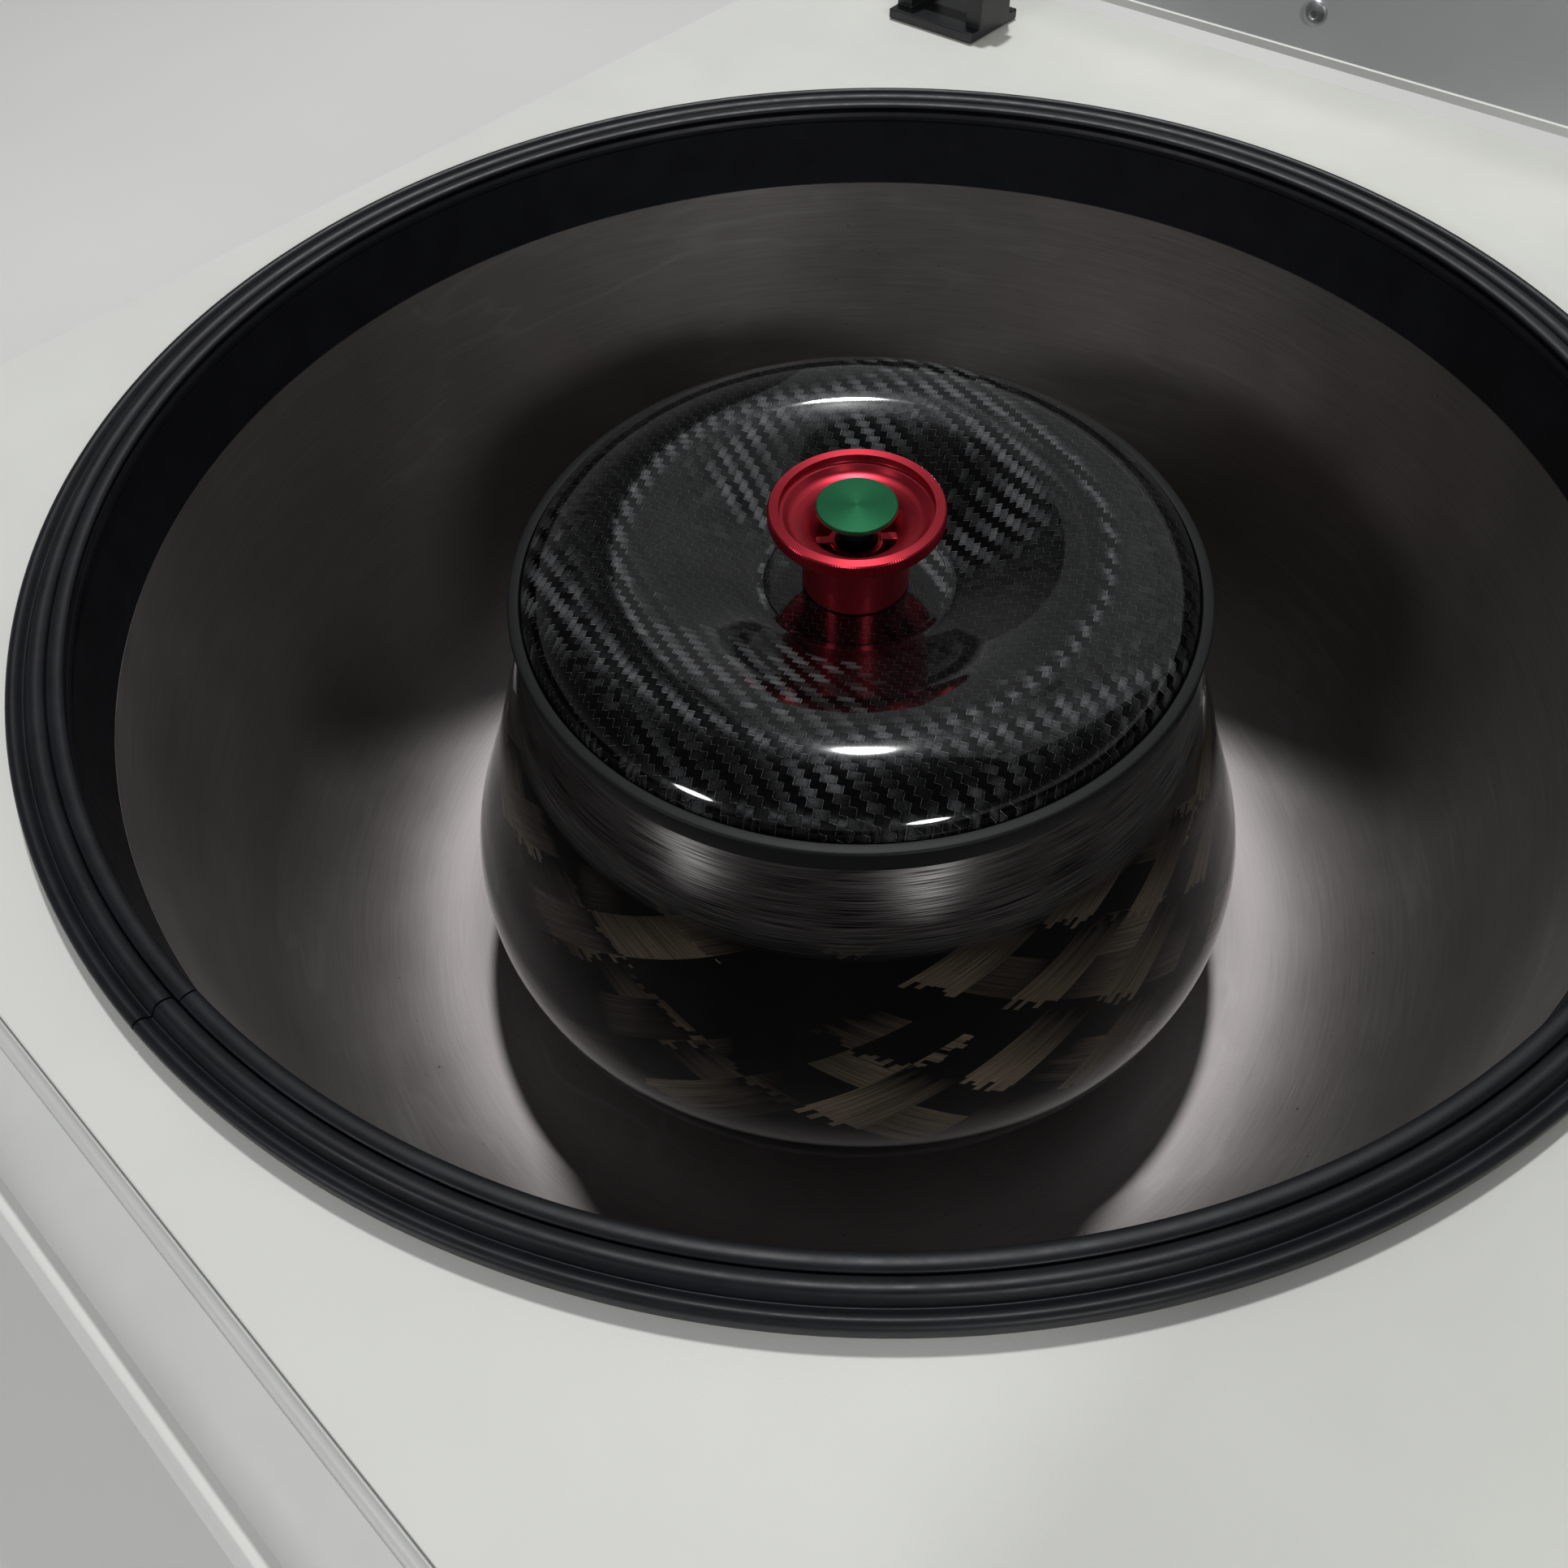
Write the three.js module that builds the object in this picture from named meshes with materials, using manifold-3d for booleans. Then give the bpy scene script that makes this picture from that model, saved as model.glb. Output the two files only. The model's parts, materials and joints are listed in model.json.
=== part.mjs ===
// Refrigerated bench centrifuge with its lid raised and a six place fixed angle rotor in the chamber.
// Millimetres, +Z up, front towards -Y. The origin is on the bench, under the middle of the whole outline.

import * as THREE from 'three';
import { mergeVertices } from 'three/addons/utils/BufferGeometryUtils.js';
import Module from 'manifold-3d';

const wasm = await Module();
wasm.setup();

// Fits shared by every piece
const fit = 0.3;
const overrun = 5;
const ringSteps = 30;
const coilSteps = 24;
const midSteps = 16;
const smallSteps = 12;

// Rotor and its six bottle cavities
const cavityCount = 6;
const cavityRadius = 31.3;
const cavityDepth = 116;
const cavityTilt = 23;
const cavityCorner = 7;
const cavitySteps = 12;
const cavityWeb = 2.4;
const cavityEdge = 2;
const lidLedge = 7.2;
const rimWall = 3.8;
const rimBand = 8;
const rimChamfer = 0.8;
const neckStep = 1.4;
const ledgeDrop = 9;
const rotorDeckDrop = 22;
const bellyWall = 9.3;
const rotorFloor = 13;
const hubRadius = 20;
const hubWall = 5;
const bossRise = 8;
const hubRecess = 35.8;
const hollowRim = 24;
const hollowRise = 76;
const hollowNeck = 8;
const bellyShares = [[0.132, 0.214], [0.378, 0.364], [0.704, 0.584], [0.989, 0.766], [0.968, 0.851],
  [0.698, 0.951], [0.17, 1]];
const bellySteps = 7;

// Rotor lid, its seal, the knob and the lock button
const lidWall = 3.2;
const lidCrestRise = 12;
const lidEdgeDrop = 1.2;
const lidHubDrop = 6.3;
const lidHubRadius = 30;
const lidCrestShare = 0.745;
const lidStepShare = 0.67;
const lidTurnShares = [0, 0.28, 0.54, 0.8, 1];
const lidStep = 1;
const lidSkirt = 4;
const sealSection = 2.2;
const knobRimRadius = 27.7;
const knobRise = 23.9;
const knobLip = 3.5;
const knobLipDepth = 2.6;
const knurlHeight = 5;
const knurlChamfer = 0.5;
const knobSteps = 24;
const knobCollarRadius = 17.3;
const knobFlare = 3.4;
const throatRadius = 12.4;
const throatDepth = 20;
const throatBlend = 6;
const spokeCount = 4;
const spokeWidth = 3.4;
const spokeHeight = 7;
const sleeveWall = 2;
const shankRadius = 10.4;
const shankLength = 12;
const stemRadius = 6.2;
const stemReach = 4;
const buttonRadius = 12.7;
const buttonWall = 2;
const buttonTravel = 4;
const lockRise = 0.4;

// Drive spindle
const driveRadius = 11;
const driveLength = 64;
const driveNose = 3;
const flangeRadius = 23;
const flangeWall = 4;
const shaftRadius = 9;
const shaftLength = 62;

// Chamber: bowl, collar, gasket, insulation, coil and guard ring
const mouthRadius = 226.1;
const rimDrop = 33.6;
const collarDrop = 26.7;
const collarWall = 3;
const collarBead = 2.4;
const beadProud = 0.5;
const gasketWidth = 14.3;
const gasketHeight = 6.9;
const gasketOverhang = 1.1;
const bowlWall = 1.5;
const bowlFlange = 6;
const bowlCorner = 70;
const bowlCornerSteps = 3;
const floorGap = 30;
const coneRise = 46;
const coneFoot = 62;
const coneHead = 36;
const bootRadius = 20;
const bootRise = 9;
const bootLip = 1.2;
const bootWaistShare = 0.8;
const coilTube = 9.5;
const coilStandoff = 2.4;
const coilTurns = 3;
const coilPitch = 26;
const coilDrop = 14;
const coilSides = 4;
const foamWall = 9;
const foamFloor = 12;
const guardWall = 8;
const guardDrop = 8;

// Cabinet
const sideGap = 3.5;
const panelWall = 2.5;
const frontGap = 44;
const rearGap = 57.6;
const underBowl = 60;
const footHeight = 22;
const footRadius = 20;
const footInset = 46;
const footWaist = 3;
const panWall = 2;
const panHeight = 26;
const deckWall = 4;
const grooveWidth = 3.5;
const noseDepth = 16;
const noseDrop = 13;
const noseSteps = 5;
const noseLip = 8;
const fasciaStep = 4.5;
const fasciaStepDrop = 3;
const fasciaLean = 20.9;
const fasciaRun = 82;
const frontWall = 3;
const towerWidth = 219;
const towerRise = 50;
const towerLean = 40;
const towerRun = 150;
const towerShoulder = 12;
const towerTab = 8;
const louvreCount = 7;
const louvreWidth = 6;
const louvrePitch = 13;
const louvreLength = 110;
const bulkheadWall = 2.5;

// Display, keys, inlet and switch
const displayWidth = 108;
const displayHeight = 52;
const displayCorner = 4;
const displayWall = 2;
const displayDown = 48;
const keyCount = 4;
const keySize = 19;
const keyPitch = 28;
const keyCorner = 3;
const keyWall = 5;
const keyProud = 1.6;
const keyTravel = 1.2;
const keyDown = 108;
const inletWidth = 31;
const inletHeight = 24;
const inletDepth = 26;
const inletWall = 2.5;
const inletFlange = 4;
const inletRise = 74;
const inletInset = 40;
const pinCount = 3;
const pinSize = 4;
const pinPitch = 7;
const switchWidth = 14;
const switchHeight = 22;
const switchDepth = 12;
const switchTip = 2.4;
const switchTail = 12;
const switchGap = 22;

// Motor
const motorRadius = 56;
const motorNeckRadius = 27;
const motorNeckGap = 4;
const motorSeat = 12;
const motorCap = 10;
const finCount = 3;
const finDepth = 3;
const finGap = 5;
const mountCount = 3;
const mountRadius = 9;
const mountInset = 14;

// Refrigeration set and electronics
const compressorRadius = 60;
const compressorHeight = 150;
const compressorBase = 6;
const compressorSpread = 132;
const compressorSetback = 150;
const compressorShares = [[0.9, 0], [1, 0.06], [1, 0.4], [1.04, 0.42], [1.04, 0.46], [1, 0.48],
  [0.99, 0.74], [0.86, 0.9], [0.5, 1]];
const coreMargin = 14;
const coreHeight = 190;
const coreDepth = 36;
const coreFins = 14;
const coreSpine = 8;
const coreSetback = 36;
const coreBase = 6;
const shroudWall = 3;
const shroudDepth = 22;
const fanRadius = 74;
const fanClear = 3;
const fanHub = 20;
const fanDepth = 14;
const bladeCount = 5;
const bladeWall = 2.4;
const bladePitch = 32;
const bladeWidth = 30;
const fanMotorRadius = 24;
const fanMotorLength = 34;
const strutWidth = 16;
const fanShaft = 4;
const boxDepth = 90;
const boxHeight = 60;
const boxGap = 30;
const boxMargin = 12;
const boxRibs = 6;
const boxRib = 3;

// Raised lid, hinges and latches
const lidOpenAngle = 80;
const hingeSetback = 44;
const hingeRise = 22;
const lidSeat = 0.5;
const lidRise = 62;
const lidShell = 3;
const lidSideGap = 2.5;
const lidRearGap = 12;
const lidFrontSlope = 34;
const lidNose = 16;
const lidBevel = 6;
const linerWall = 2;
const dishRise = 8;
const dishSlope = 16;
const landInset = 10;
const windowRadius = 24;
const windowWall = 5;
const windowTube = 2;
const windowSeat = 3;
const gripWidth = 130;
const gripDepth = 20;
const gripHeight = 12;
const gripCorner = 5;
const hingeSideInset = 93;
const hingeWidth = 46;
const hingeKnuckle = 11;
const hingePin = 4;
const hingeHead = 6.4;
const hingeCheek = 8;
const hingePlate = 4;
const hingeFoot = 34;
const armLength = 60;
const armWall = 5;
const latchClear = 7.2;
const latchInset = 12;
const slotWidth = 34;
const slotDepth = 13;
const strikerWidth = 26;
const strikerWall = 5;
const strikerBar = 6;
const strikerPlay = 3;
const strikerFoot = 3;
const hookWall = 8;
const hookBack = 22;
const hookRise = 33;
const hookNose = 4;
const hookThick = 7;
const hookSwing = 24;
const hookDrop = 50;
const hookPin = 3;
const hookBoss = 7;
const bracketWall = 2.5;
const bracketGap = 1;
const bracketDepth = 16;
const bracketFlange = 8;

// Places that follow from the sizes above
const tilt = THREE.MathUtils.degToRad(cavityTilt);
const cavityPitch = (cavityRadius + cavityWeb / 2) / Math.sin(Math.PI / cavityCount);
const wellRadius = cavityPitch + cavityRadius / Math.cos(tilt) + cavityEdge;
const ledgeRadius = wellRadius + lidLedge;
const rimRadius = ledgeRadius + rimWall;
const neckRadius = rimRadius - neckStep;
const cavityRun = cavityDepth * Math.sin(tilt);
const cavityFall = cavityDepth * Math.cos(tilt);
const bellyRadius = cavityPitch + cavityRun + cavityRadius * Math.cos(tilt) + bellyWall;
const rotorHeight = rotorDeckDrop + cavityFall + cavityRadius * Math.sin(tilt) + rotorFloor;
const neckDrop = rimBand + neckStep;
const hubTop = -lidHubDrop - lidWall - fit;
const hubBottom = hubRecess - rotorHeight;
const hubBore = hubRadius + fit;
const bossRadius = hubBore + hubWall;

const bowlDepth = rimDrop + rotorHeight + floorGap;
const deckHeight = footHeight + underBowl + bowlDepth;
const bowlOuter = mouthRadius + bowlWall;
const coilRadius = bowlOuter + coilStandoff + coilTube / 2;
const foamInner = (coilRadius + coilTube / 2 + fit) / Math.cos(Math.PI / ringSteps);
const foamOuter = foamInner + foamWall;
const guardInner = foamOuter + fit;
const guardOuter = guardInner + guardWall;
const collarOuter = mouthRadius + collarWall;

const bayWidth = 2 * (guardOuter + sideGap + panelWall);
const cabinetWidth = bayWidth + towerWidth;
const frontReach = guardOuter + frontGap;
const rearReach = guardOuter + rearGap;
const cabinetDepth = frontReach + rearReach;
const left = -cabinetWidth / 2;
const right = cabinetWidth / 2;
const front = -cabinetDepth / 2;
const rear = cabinetDepth / 2;
const spindleX = left + bayWidth / 2;
const spindleY = front + frontReach;
const bayRight = left + bayWidth;
const towerTop = deckHeight + towerRise;
const panBottom = footHeight;
const panFloor = panBottom + panWall;
const deckUnder = deckHeight - deckWall;
const deckSetback = fasciaLean + fasciaStep + noseDepth + grooveWidth;
const deckFront = front + deckSetback;
const noseBack = deckFront - grooveWidth;
const noseFront = noseBack - noseDepth;
const rimHeight = deckHeight - rimDrop;
const lidGap = gasketHeight + lidSeat;
const latchBack = latchInset + slotDepth / 2 + hookBack + bracketDepth / 2;
const cheekBack = frontReach - deckSetback - latchBack;
const cheekOut = hookWall / 2 + bracketGap + bracketWall;
const latchSpan = Math.sqrt((guardOuter + latchClear) ** 2 - cheekBack ** 2) + cheekOut;
const hingeSpan = bayWidth / 2 - hingeSideInset;

// Materials
function paint(color, roughness, metalness = 0) {
  return new THREE.MeshStandardMaterial({ color, roughness, metalness });
}

const whitePaint = paint(0xd3d4cf, 0.5);
const greyPlastic = paint(0xb9bbb8, 0.55);
const blackRubber = paint(0x1a1b1f, 0.55);
const bowlSteel = paint(0x77736e, 0.32, 0.9);
const plainSteel = paint(0x9a9ca0, 0.4, 0.9);
const zincSteel = paint(0xa9abad, 0.5, 0.8);
const foam = paint(0xcfc7a8, 0.9);
const copper = paint(0xb06a42, 0.4, 0.9);
const carbon = paint(0x101112, 0.2);
const carbonLid = paint(0x17181a, 0.15);
const redAnodised = paint(0xa5192a, 0.3, 0.7);
const greenAnodised = paint(0x195f3c, 0.35, 0.6);
const blackAnodised = paint(0x14181a, 0.4, 0.5);
const blackEnamel = paint(0x1c1d1f, 0.4);
const blackPlastic = paint(0x242528, 0.5);
const glass = paint(0x2a3338, 0.1);
const displayGlass = paint(0x0c1420, 0.1);
const keyPlastic = paint(0x4a5560, 0.5);

// Shape helpers
function merged(geometry) {
  const bare = geometry.clone();
  bare.deleteAttribute('normal');
  bare.deleteAttribute('uv');
  return mergeVertices(bare, 1e-4);
}

function signedVolume(geometry) {
  const place = geometry.attributes.position;
  const corners = geometry.index.array;
  const [a, b, c] = [new THREE.Vector3(), new THREE.Vector3(), new THREE.Vector3()];
  let sum = 0;
  for (let n = 0; n < corners.length; n += 3) {
    a.fromBufferAttribute(place, corners[n]);
    b.fromBufferAttribute(place, corners[n + 1]);
    c.fromBufferAttribute(place, corners[n + 2]);
    sum += a.dot(b.cross(c));
  }
  return sum;
}

// A merged copy without flat triangles, with its faces pointing out
function outward(geometry) {
  const shape = merged(geometry);
  const kept = [];
  const corners = shape.index.array;
  const flipped = signedVolume(shape) < 0;
  for (let n = 0; n < corners.length; n += 3) {
    const [a, b, c] = [corners[n], corners[n + 1], corners[n + 2]];
    if (a === b || b === c || a === c) continue;
    kept.push(a, flipped ? c : b, flipped ? b : c);
  }
  shape.setIndex(kept);
  return shape;
}

function solidOf(geometry) {
  const shape = outward(geometry);
  const vertProperties = new Float32Array(shape.attributes.position.array);
  const triVerts = new Uint32Array(shape.index.array);
  return new wasm.Manifold(new wasm.Mesh({ numProp: 3, vertProperties, triVerts }));
}

function geometryOf(solid) {
  const mesh = solid.getMesh();
  const geometry = new THREE.BufferGeometry();
  geometry.setAttribute('position', new THREE.BufferAttribute(new Float32Array(mesh.vertProperties), 3));
  geometry.setIndex(new THREE.BufferAttribute(new Uint32Array(mesh.triVerts), 1));
  return geometry;
}

function cut(base, ...tools) {
  return geometryOf(tools.reduce((solid, tool) => solid.subtract(solidOf(tool)), solidOf(base)));
}

function join(base, ...others) {
  return geometryOf(others.reduce((solid, other) => solid.add(solidOf(other)), solidOf(base)));
}

function within(base, limit) {
  return geometryOf(solidOf(base).intersect(solidOf(limit)));
}

// A body turned round the vertical axis; a profile that leaves the axis is closed on itself
function turned(profile, steps) {
  const onAxis = profile[0][0] === 0;
  const loop = onAxis ? profile : [...profile, profile[0]];
  const points = loop.map(([radius, height]) => new THREE.Vector2(radius, height));
  return new THREE.LatheGeometry(points, steps).rotateX(Math.PI / 2);
}

function block([x0, x1], [y0, y1], [z0, z1]) {
  const box = new THREE.BoxGeometry(x1 - x0, y1 - y0, z1 - z0);
  return box.translate((x0 + x1) / 2, (y0 + y1) / 2, (z0 + z1) / 2);
}

function drum(radius, z0, z1, steps = midSteps) {
  return turned([[0, z0], [radius, z0], [radius, z1], [0, z1]], steps);
}

function outline(points) {
  return new THREE.Shape(points.map(([x, y]) => new THREE.Vector2(x, y)));
}

function rounded(width, height, corner) {
  const [x, y] = [width / 2, height / 2];
  const shape = new THREE.Shape();
  shape.moveTo(x, y - corner);
  shape.absarc(x - corner, y - corner, corner, 0, Math.PI / 2);
  shape.absarc(-x + corner, y - corner, corner, Math.PI / 2, Math.PI);
  shape.absarc(-x + corner, -y + corner, corner, Math.PI, 1.5 * Math.PI);
  shape.absarc(x - corner, -y + corner, corner, 1.5 * Math.PI, 2 * Math.PI);
  return shape;
}

function upright(shape, depth, curveSegments = 4) {
  return new THREE.ExtrudeGeometry(shape, { depth, bevelEnabled: false, curveSegments });
}

// A section drawn in the plane of depth and height, drawn out along the width
function alongX(shape, x0, x1) {
  const turn = new THREE.Matrix4().makeBasis(
    new THREE.Vector3(0, 1, 0), new THREE.Vector3(0, 0, 1), new THREE.Vector3(1, 0, 0));
  return upright(shape, x1 - x0).applyMatrix4(turn).translate(x0, 0, 0);
}

// A front view in the plane of width and height, drawn out along the depth
function alongY(shape, y0, y1) {
  const turn = new THREE.Matrix4().makeBasis(
    new THREE.Vector3(1, 0, 0), new THREE.Vector3(0, 0, 1), new THREE.Vector3(0, -1, 0));
  return upright(shape, y1 - y0).applyMatrix4(turn).translate(0, y1, 0);
}

// The inner line of a sheet that follows a row of points, one wall thickness to their left
function offsetLine(points, wall) {
  const ways = points.slice(1).map(([x, y], n) => {
    const [dx, dy] = [x - points[n][0], y - points[n][1]];
    const run = Math.hypot(dx, dy);
    return [dx / run, dy / run];
  });
  return points.map(([x, y], n) => {
    const before = ways[Math.max(n - 1, 0)];
    const after = ways[Math.min(n, ways.length - 1)];
    const [mx, my] = [-(before[1] + after[1]), before[0] + after[0]];
    const scale = 2 * wall / (mx * mx + my * my);
    return [x + mx * scale, y + my * scale];
  });
}

function sheet(points, wall) {
  return outline([...points, ...offsetLine(points, wall).reverse()]);
}

const part = new THREE.Group();

function add(parent, name, geometry, material) {
  const mesh = new THREE.Mesh(outward(geometry), material);
  mesh.name = name;
  parent.add(mesh);
  return mesh;
}

function placed(parent, x, y, z) {
  const group = new THREE.Group();
  group.position.set(x, y, z);
  parent.add(group);
  return group;
}

const chamber = placed(part, spindleX, spindleY, deckHeight);
const rotor = placed(part, spindleX, spindleY, rimHeight);

// Rotor: a vase shaped body with six slanted cavities round a metal hub
function bellyLine() {
  const across = bellyRadius - neckRadius;
  const line = new THREE.SplineCurve(bellyShares.map(([out, down]) =>
    new THREE.Vector2(neckRadius + out * across, -down * rotorHeight)));
  return line.getPoints(bellySteps).map((point) => [point.x, point.y]);
}

function cavityTool(index) {
  const over = (cavityRadius * Math.sin(tilt) + cavityWeb) / Math.cos(tilt);
  const tool = turned([[0, 0], [cavityRadius - cavityCorner, 0], [cavityRadius, cavityCorner],
    [cavityRadius, cavityDepth + over], [0, cavityDepth + over]], cavitySteps);
  tool.rotateY(-tilt);
  tool.translate(cavityPitch + cavityRun, 0, -rotorDeckDrop - cavityFall);
  return tool.rotateZ(index * 2 * Math.PI / cavityCount);
}

function makeRotor() {
  const hollowTop = hollowRise - rotorHeight;
  const hollowRadius = cavityPitch + cavityRun - cavityRadius - hollowNeck;
  const body = turned([
    [hubBore, hubBottom], [hubBore, bossRise - rotorDeckDrop], [bossRadius, bossRise - rotorDeckDrop],
    [bossRadius, -rotorDeckDrop], [wellRadius, -rotorDeckDrop], [wellRadius, -ledgeDrop],
    [ledgeRadius, -ledgeDrop], [ledgeRadius, 0], [rimRadius - rimChamfer, 0], [rimRadius, -rimChamfer],
    [rimRadius, -rimBand],
    [neckRadius, -neckDrop], ...bellyLine(),
    [hollowRadius, -rotorHeight], [bossRadius + hollowNeck, hollowTop], [bossRadius, hollowTop],
    [bossRadius, hubBottom]], ringSteps);
  const tools = Array.from({ length: cavityCount }, (_, n) => cavityTool(n));
  add(rotor, 'rotor_body', cut(body, ...tools), carbon);

  const socketFloor = hubTop - shankLength - fit;
  const stemFloor = socketFloor - stemReach - buttonTravel - fit;
  const driveTop = hubBottom + driveLength + fit;
  add(rotor, 'rotor_hub', turned([
    [0, stemFloor], [stemRadius + fit, stemFloor], [stemRadius + fit, socketFloor],
    [shankRadius + fit, socketFloor], [shankRadius + fit, hubTop], [hubRadius, hubTop],
    [hubRadius, hubBottom], [driveRadius + fit, hubBottom], [driveRadius + fit, driveTop], [0, driveTop]],
  midSteps), plainSteel);
}

// Dished lid: a convex shoulder, a rounded crest, a fine step and a shallow bowl down to the hub disc
function makeRotorLid() {
  const edge = ledgeRadius - fit;
  const crest = edge * lidCrestShare;
  const stepRadius = edge * lidStepShare;
  const under = -ledgeDrop + fit;
  const shoulder = (turn) => [crest + (edge - crest) * Math.sin(turn),
    -lidEdgeDrop - lidStep + (lidCrestRise + lidEdgeDrop + lidStep) * Math.cos(turn)];
  const turns = lidTurnShares.map((share) => share * Math.PI / 2);
  const bore = shankRadius + 2 * fit;
  const insideRim = wellRadius - sealSection - 2 * fit;
  add(rotor, 'rotor_lid', turned([
    [bore, -lidHubDrop - lidWall], [bore, -lidHubDrop], [lidHubRadius, -lidHubDrop],
    [stepRadius - lidStep, lidCrestRise - 3 * lidStep], [stepRadius, lidCrestRise - lidStep],
    ...turns.map(shoulder), [edge, under], [wellRadius - fit, under], [wellRadius - fit, under - lidSkirt],
    [insideRim, under - lidSkirt], [insideRim, under],
    [crest + lidWall, lidCrestRise - 2 * lidWall], [stepRadius, lidCrestRise - 2 * lidWall],
    [lidHubRadius + lidWall, -lidHubDrop - lidWall]], ringSteps), carbonLid);
}

function makeRotorSeal() {
  const outer = wellRadius - sealSection - 3 * fit;
  const top = -ledgeDrop;
  const half = sealSection / 2;
  add(rotor, 'rotor_lid_seal', turned([
    [outer - sealSection, top - half], [outer - half, top - sealSection], [outer, top - half],
    [outer - half, top]], ringSteps), blackRubber);
}

// Knob: knurled rim, dished face and a throat with four spokes that carry the sleeve of the lock stem
function makeKnob() {
  const knurlBottom = knobRise - knurlHeight;
  const collarBottom = -lidHubDrop + fit;
  const floor = knobRise - throatDepth;
  const lipRadius = knobRimRadius - knobLip;
  const bowlEdge = knobRise - knobLipDepth;
  const throatTop = floor + throatBlend + spokeHeight;
  const dish = (share) => [throatRadius + (lipRadius - throatRadius) * Math.sin(share * Math.PI / 2),
    throatTop + (bowlEdge - throatTop) * (1 - Math.cos(share * Math.PI / 2))];
  const shell = turned([
    [0, floor], [throatRadius, floor], ...[0, 0.3, 0.65, 1].map(dish), [lipRadius, knobRise],
    [knobRimRadius - knurlChamfer, knobRise], [knobRimRadius, knobRise - knurlChamfer],
    [knobRimRadius, knurlBottom], [knobRimRadius - knurlChamfer, knurlBottom - knurlChamfer],
    [knobCollarRadius + knobFlare, knurlBottom - knobFlare / 2],
    [knobCollarRadius, knurlBottom - knobFlare], [knobCollarRadius, collarBottom],
    [shankRadius, collarBottom], [shankRadius, hubTop - shankLength],
    [0, hubTop - shankLength]], knobSteps);
  const sleeveTop = floor + spokeHeight;
  const sleeve = drum(stemRadius + fit + sleeveWall, floor - overrun, sleeveTop);
  const spokes = Array.from({ length: spokeCount }, (_, n) => {
    const reach = throatRadius + sleeveWall;
    const bar = block([0, reach], [-spokeWidth / 2, spokeWidth / 2], [floor - overrun, sleeveTop]);
    return bar.rotateZ((n + 0.5) * 2 * Math.PI / spokeCount);
  });
  const bore = drum(stemRadius + fit, hubTop - shankLength - overrun, knobRise);
  add(rotor, 'rotor_knob', cut(join(shell, sleeve, ...spokes), bore), redAnodised);
}

function makeLock() {
  const top = knobRise + lockRise;
  const edge = buttonWall / 4;
  const stemTop = top - buttonWall - fit;
  add(rotor, 'lock_button', turned([
    [0, top - buttonWall], [buttonRadius - edge, top - buttonWall], [buttonRadius, top - buttonWall + edge],
    [buttonRadius, top - edge], [buttonRadius - edge, top], [0, top]], midSteps), greenAnodised);
  const waist = stemRadius - 2 * fit;
  add(rotor, 'lock_stem', turned([
    [0, hubTop - shankLength - stemReach], [waist, hubTop - shankLength - stemReach],
    [waist, hubTop - shankLength], [stemRadius, hubTop], [stemRadius, stemTop], [0, stemTop]], midSteps),
  blackAnodised);
}

function makeSpindle() {
  const top = hubBottom + driveLength;
  const flange = hubBottom - fit;
  add(rotor, 'drive_spindle', turned([
    [0, top], [driveRadius - driveNose, top], [driveRadius, top - 2 * driveNose], [driveRadius, flange],
    [flangeRadius, flange], [flangeRadius, flange - flangeWall], [shaftRadius, flange - flangeWall],
    [shaftRadius, flange - flangeWall - shaftLength], [0, flange - flangeWall - shaftLength]], midSteps),
  plainSteel);
}

makeRotor();
makeRotorLid();
makeRotorSeal();
makeKnob();
makeLock();
makeSpindle();

// Chamber: pieces round the spindle axis, heights measured from the deck surface
const bowlTop = -collarDrop;
const bowlFloor = -bowlDepth;
const cornerTop = bowlFloor + bowlCorner;
const coneTop = bowlFloor + coneRise;
const boreRadius = shaftRadius + fit;

function cornerArc(radius, steps) {
  return Array.from({ length: steps + 1 }, (_, n) => {
    const turn = n / steps * Math.PI / 2;
    return [mouthRadius - bowlCorner + radius * Math.cos(turn), cornerTop - radius * Math.sin(turn)];
  });
}

function makeBowl() {
  const outer = bowlCorner + bowlWall;
  const hole = bootRadius - bootLip;
  add(chamber, 'bowl', turned([
    [mouthRadius, bowlTop], ...cornerArc(bowlCorner, bowlCornerSteps), [coneFoot, bowlFloor],
    [coneHead, coneTop], [hole, coneTop], [hole, coneTop - bowlWall],
    [coneHead - bowlWall / 2, coneTop - bowlWall], [coneFoot - bowlWall / 2, bowlFloor - bowlWall],
    ...cornerArc(outer, bowlCornerSteps).reverse(), [bowlOuter, bowlTop - bowlWall],
    [bowlOuter + bowlFlange, bowlTop - bowlWall], [bowlOuter + bowlFlange, bowlTop]],
  ringSteps), bowlSteel);
}

function makeCollar() {
  const beadBase = -collarBead / 2;
  add(chamber, 'mouth_collar', turned([
    [mouthRadius, bowlTop + fit], [mouthRadius, beadBase], [mouthRadius - beadProud, 0],
    [mouthRadius, collarBead], [collarOuter, collarBead], [collarOuter, bowlTop + fit]],
  ringSteps), blackRubber);
}

// Gasket section: an outer ridge, a valley, a broad dome, a groove and an inner lip over the collar bead
const gasketShares = [[0.951, 0.04], [1, 0.22], [1, 0.72], [0.92, 0.91], [0.797, 0.855], [0.716, 0.725],
  [0.643, 0.87], [0.531, 1], [0.42, 0.957], [0.343, 0.855], [0.298, 0.754], [0.252, 0.855], [0.084, 0.826],
  [0, 0.67], [0.28, 0.435]];

function makeGasket() {
  const inner = mouthRadius - gasketOverhang;
  const heel = collarOuter + 2 * fit;
  const points = gasketShares.map(([across, up]) =>
    [inner + across * gasketWidth, Math.max(up * gasketHeight, fit)]);
  const profile = [[heel, fit], ...points, [heel, gasketHeight / 3]];
  add(chamber, 'mouth_gasket', turned(profile, ringSteps), blackRubber);
}

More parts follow.
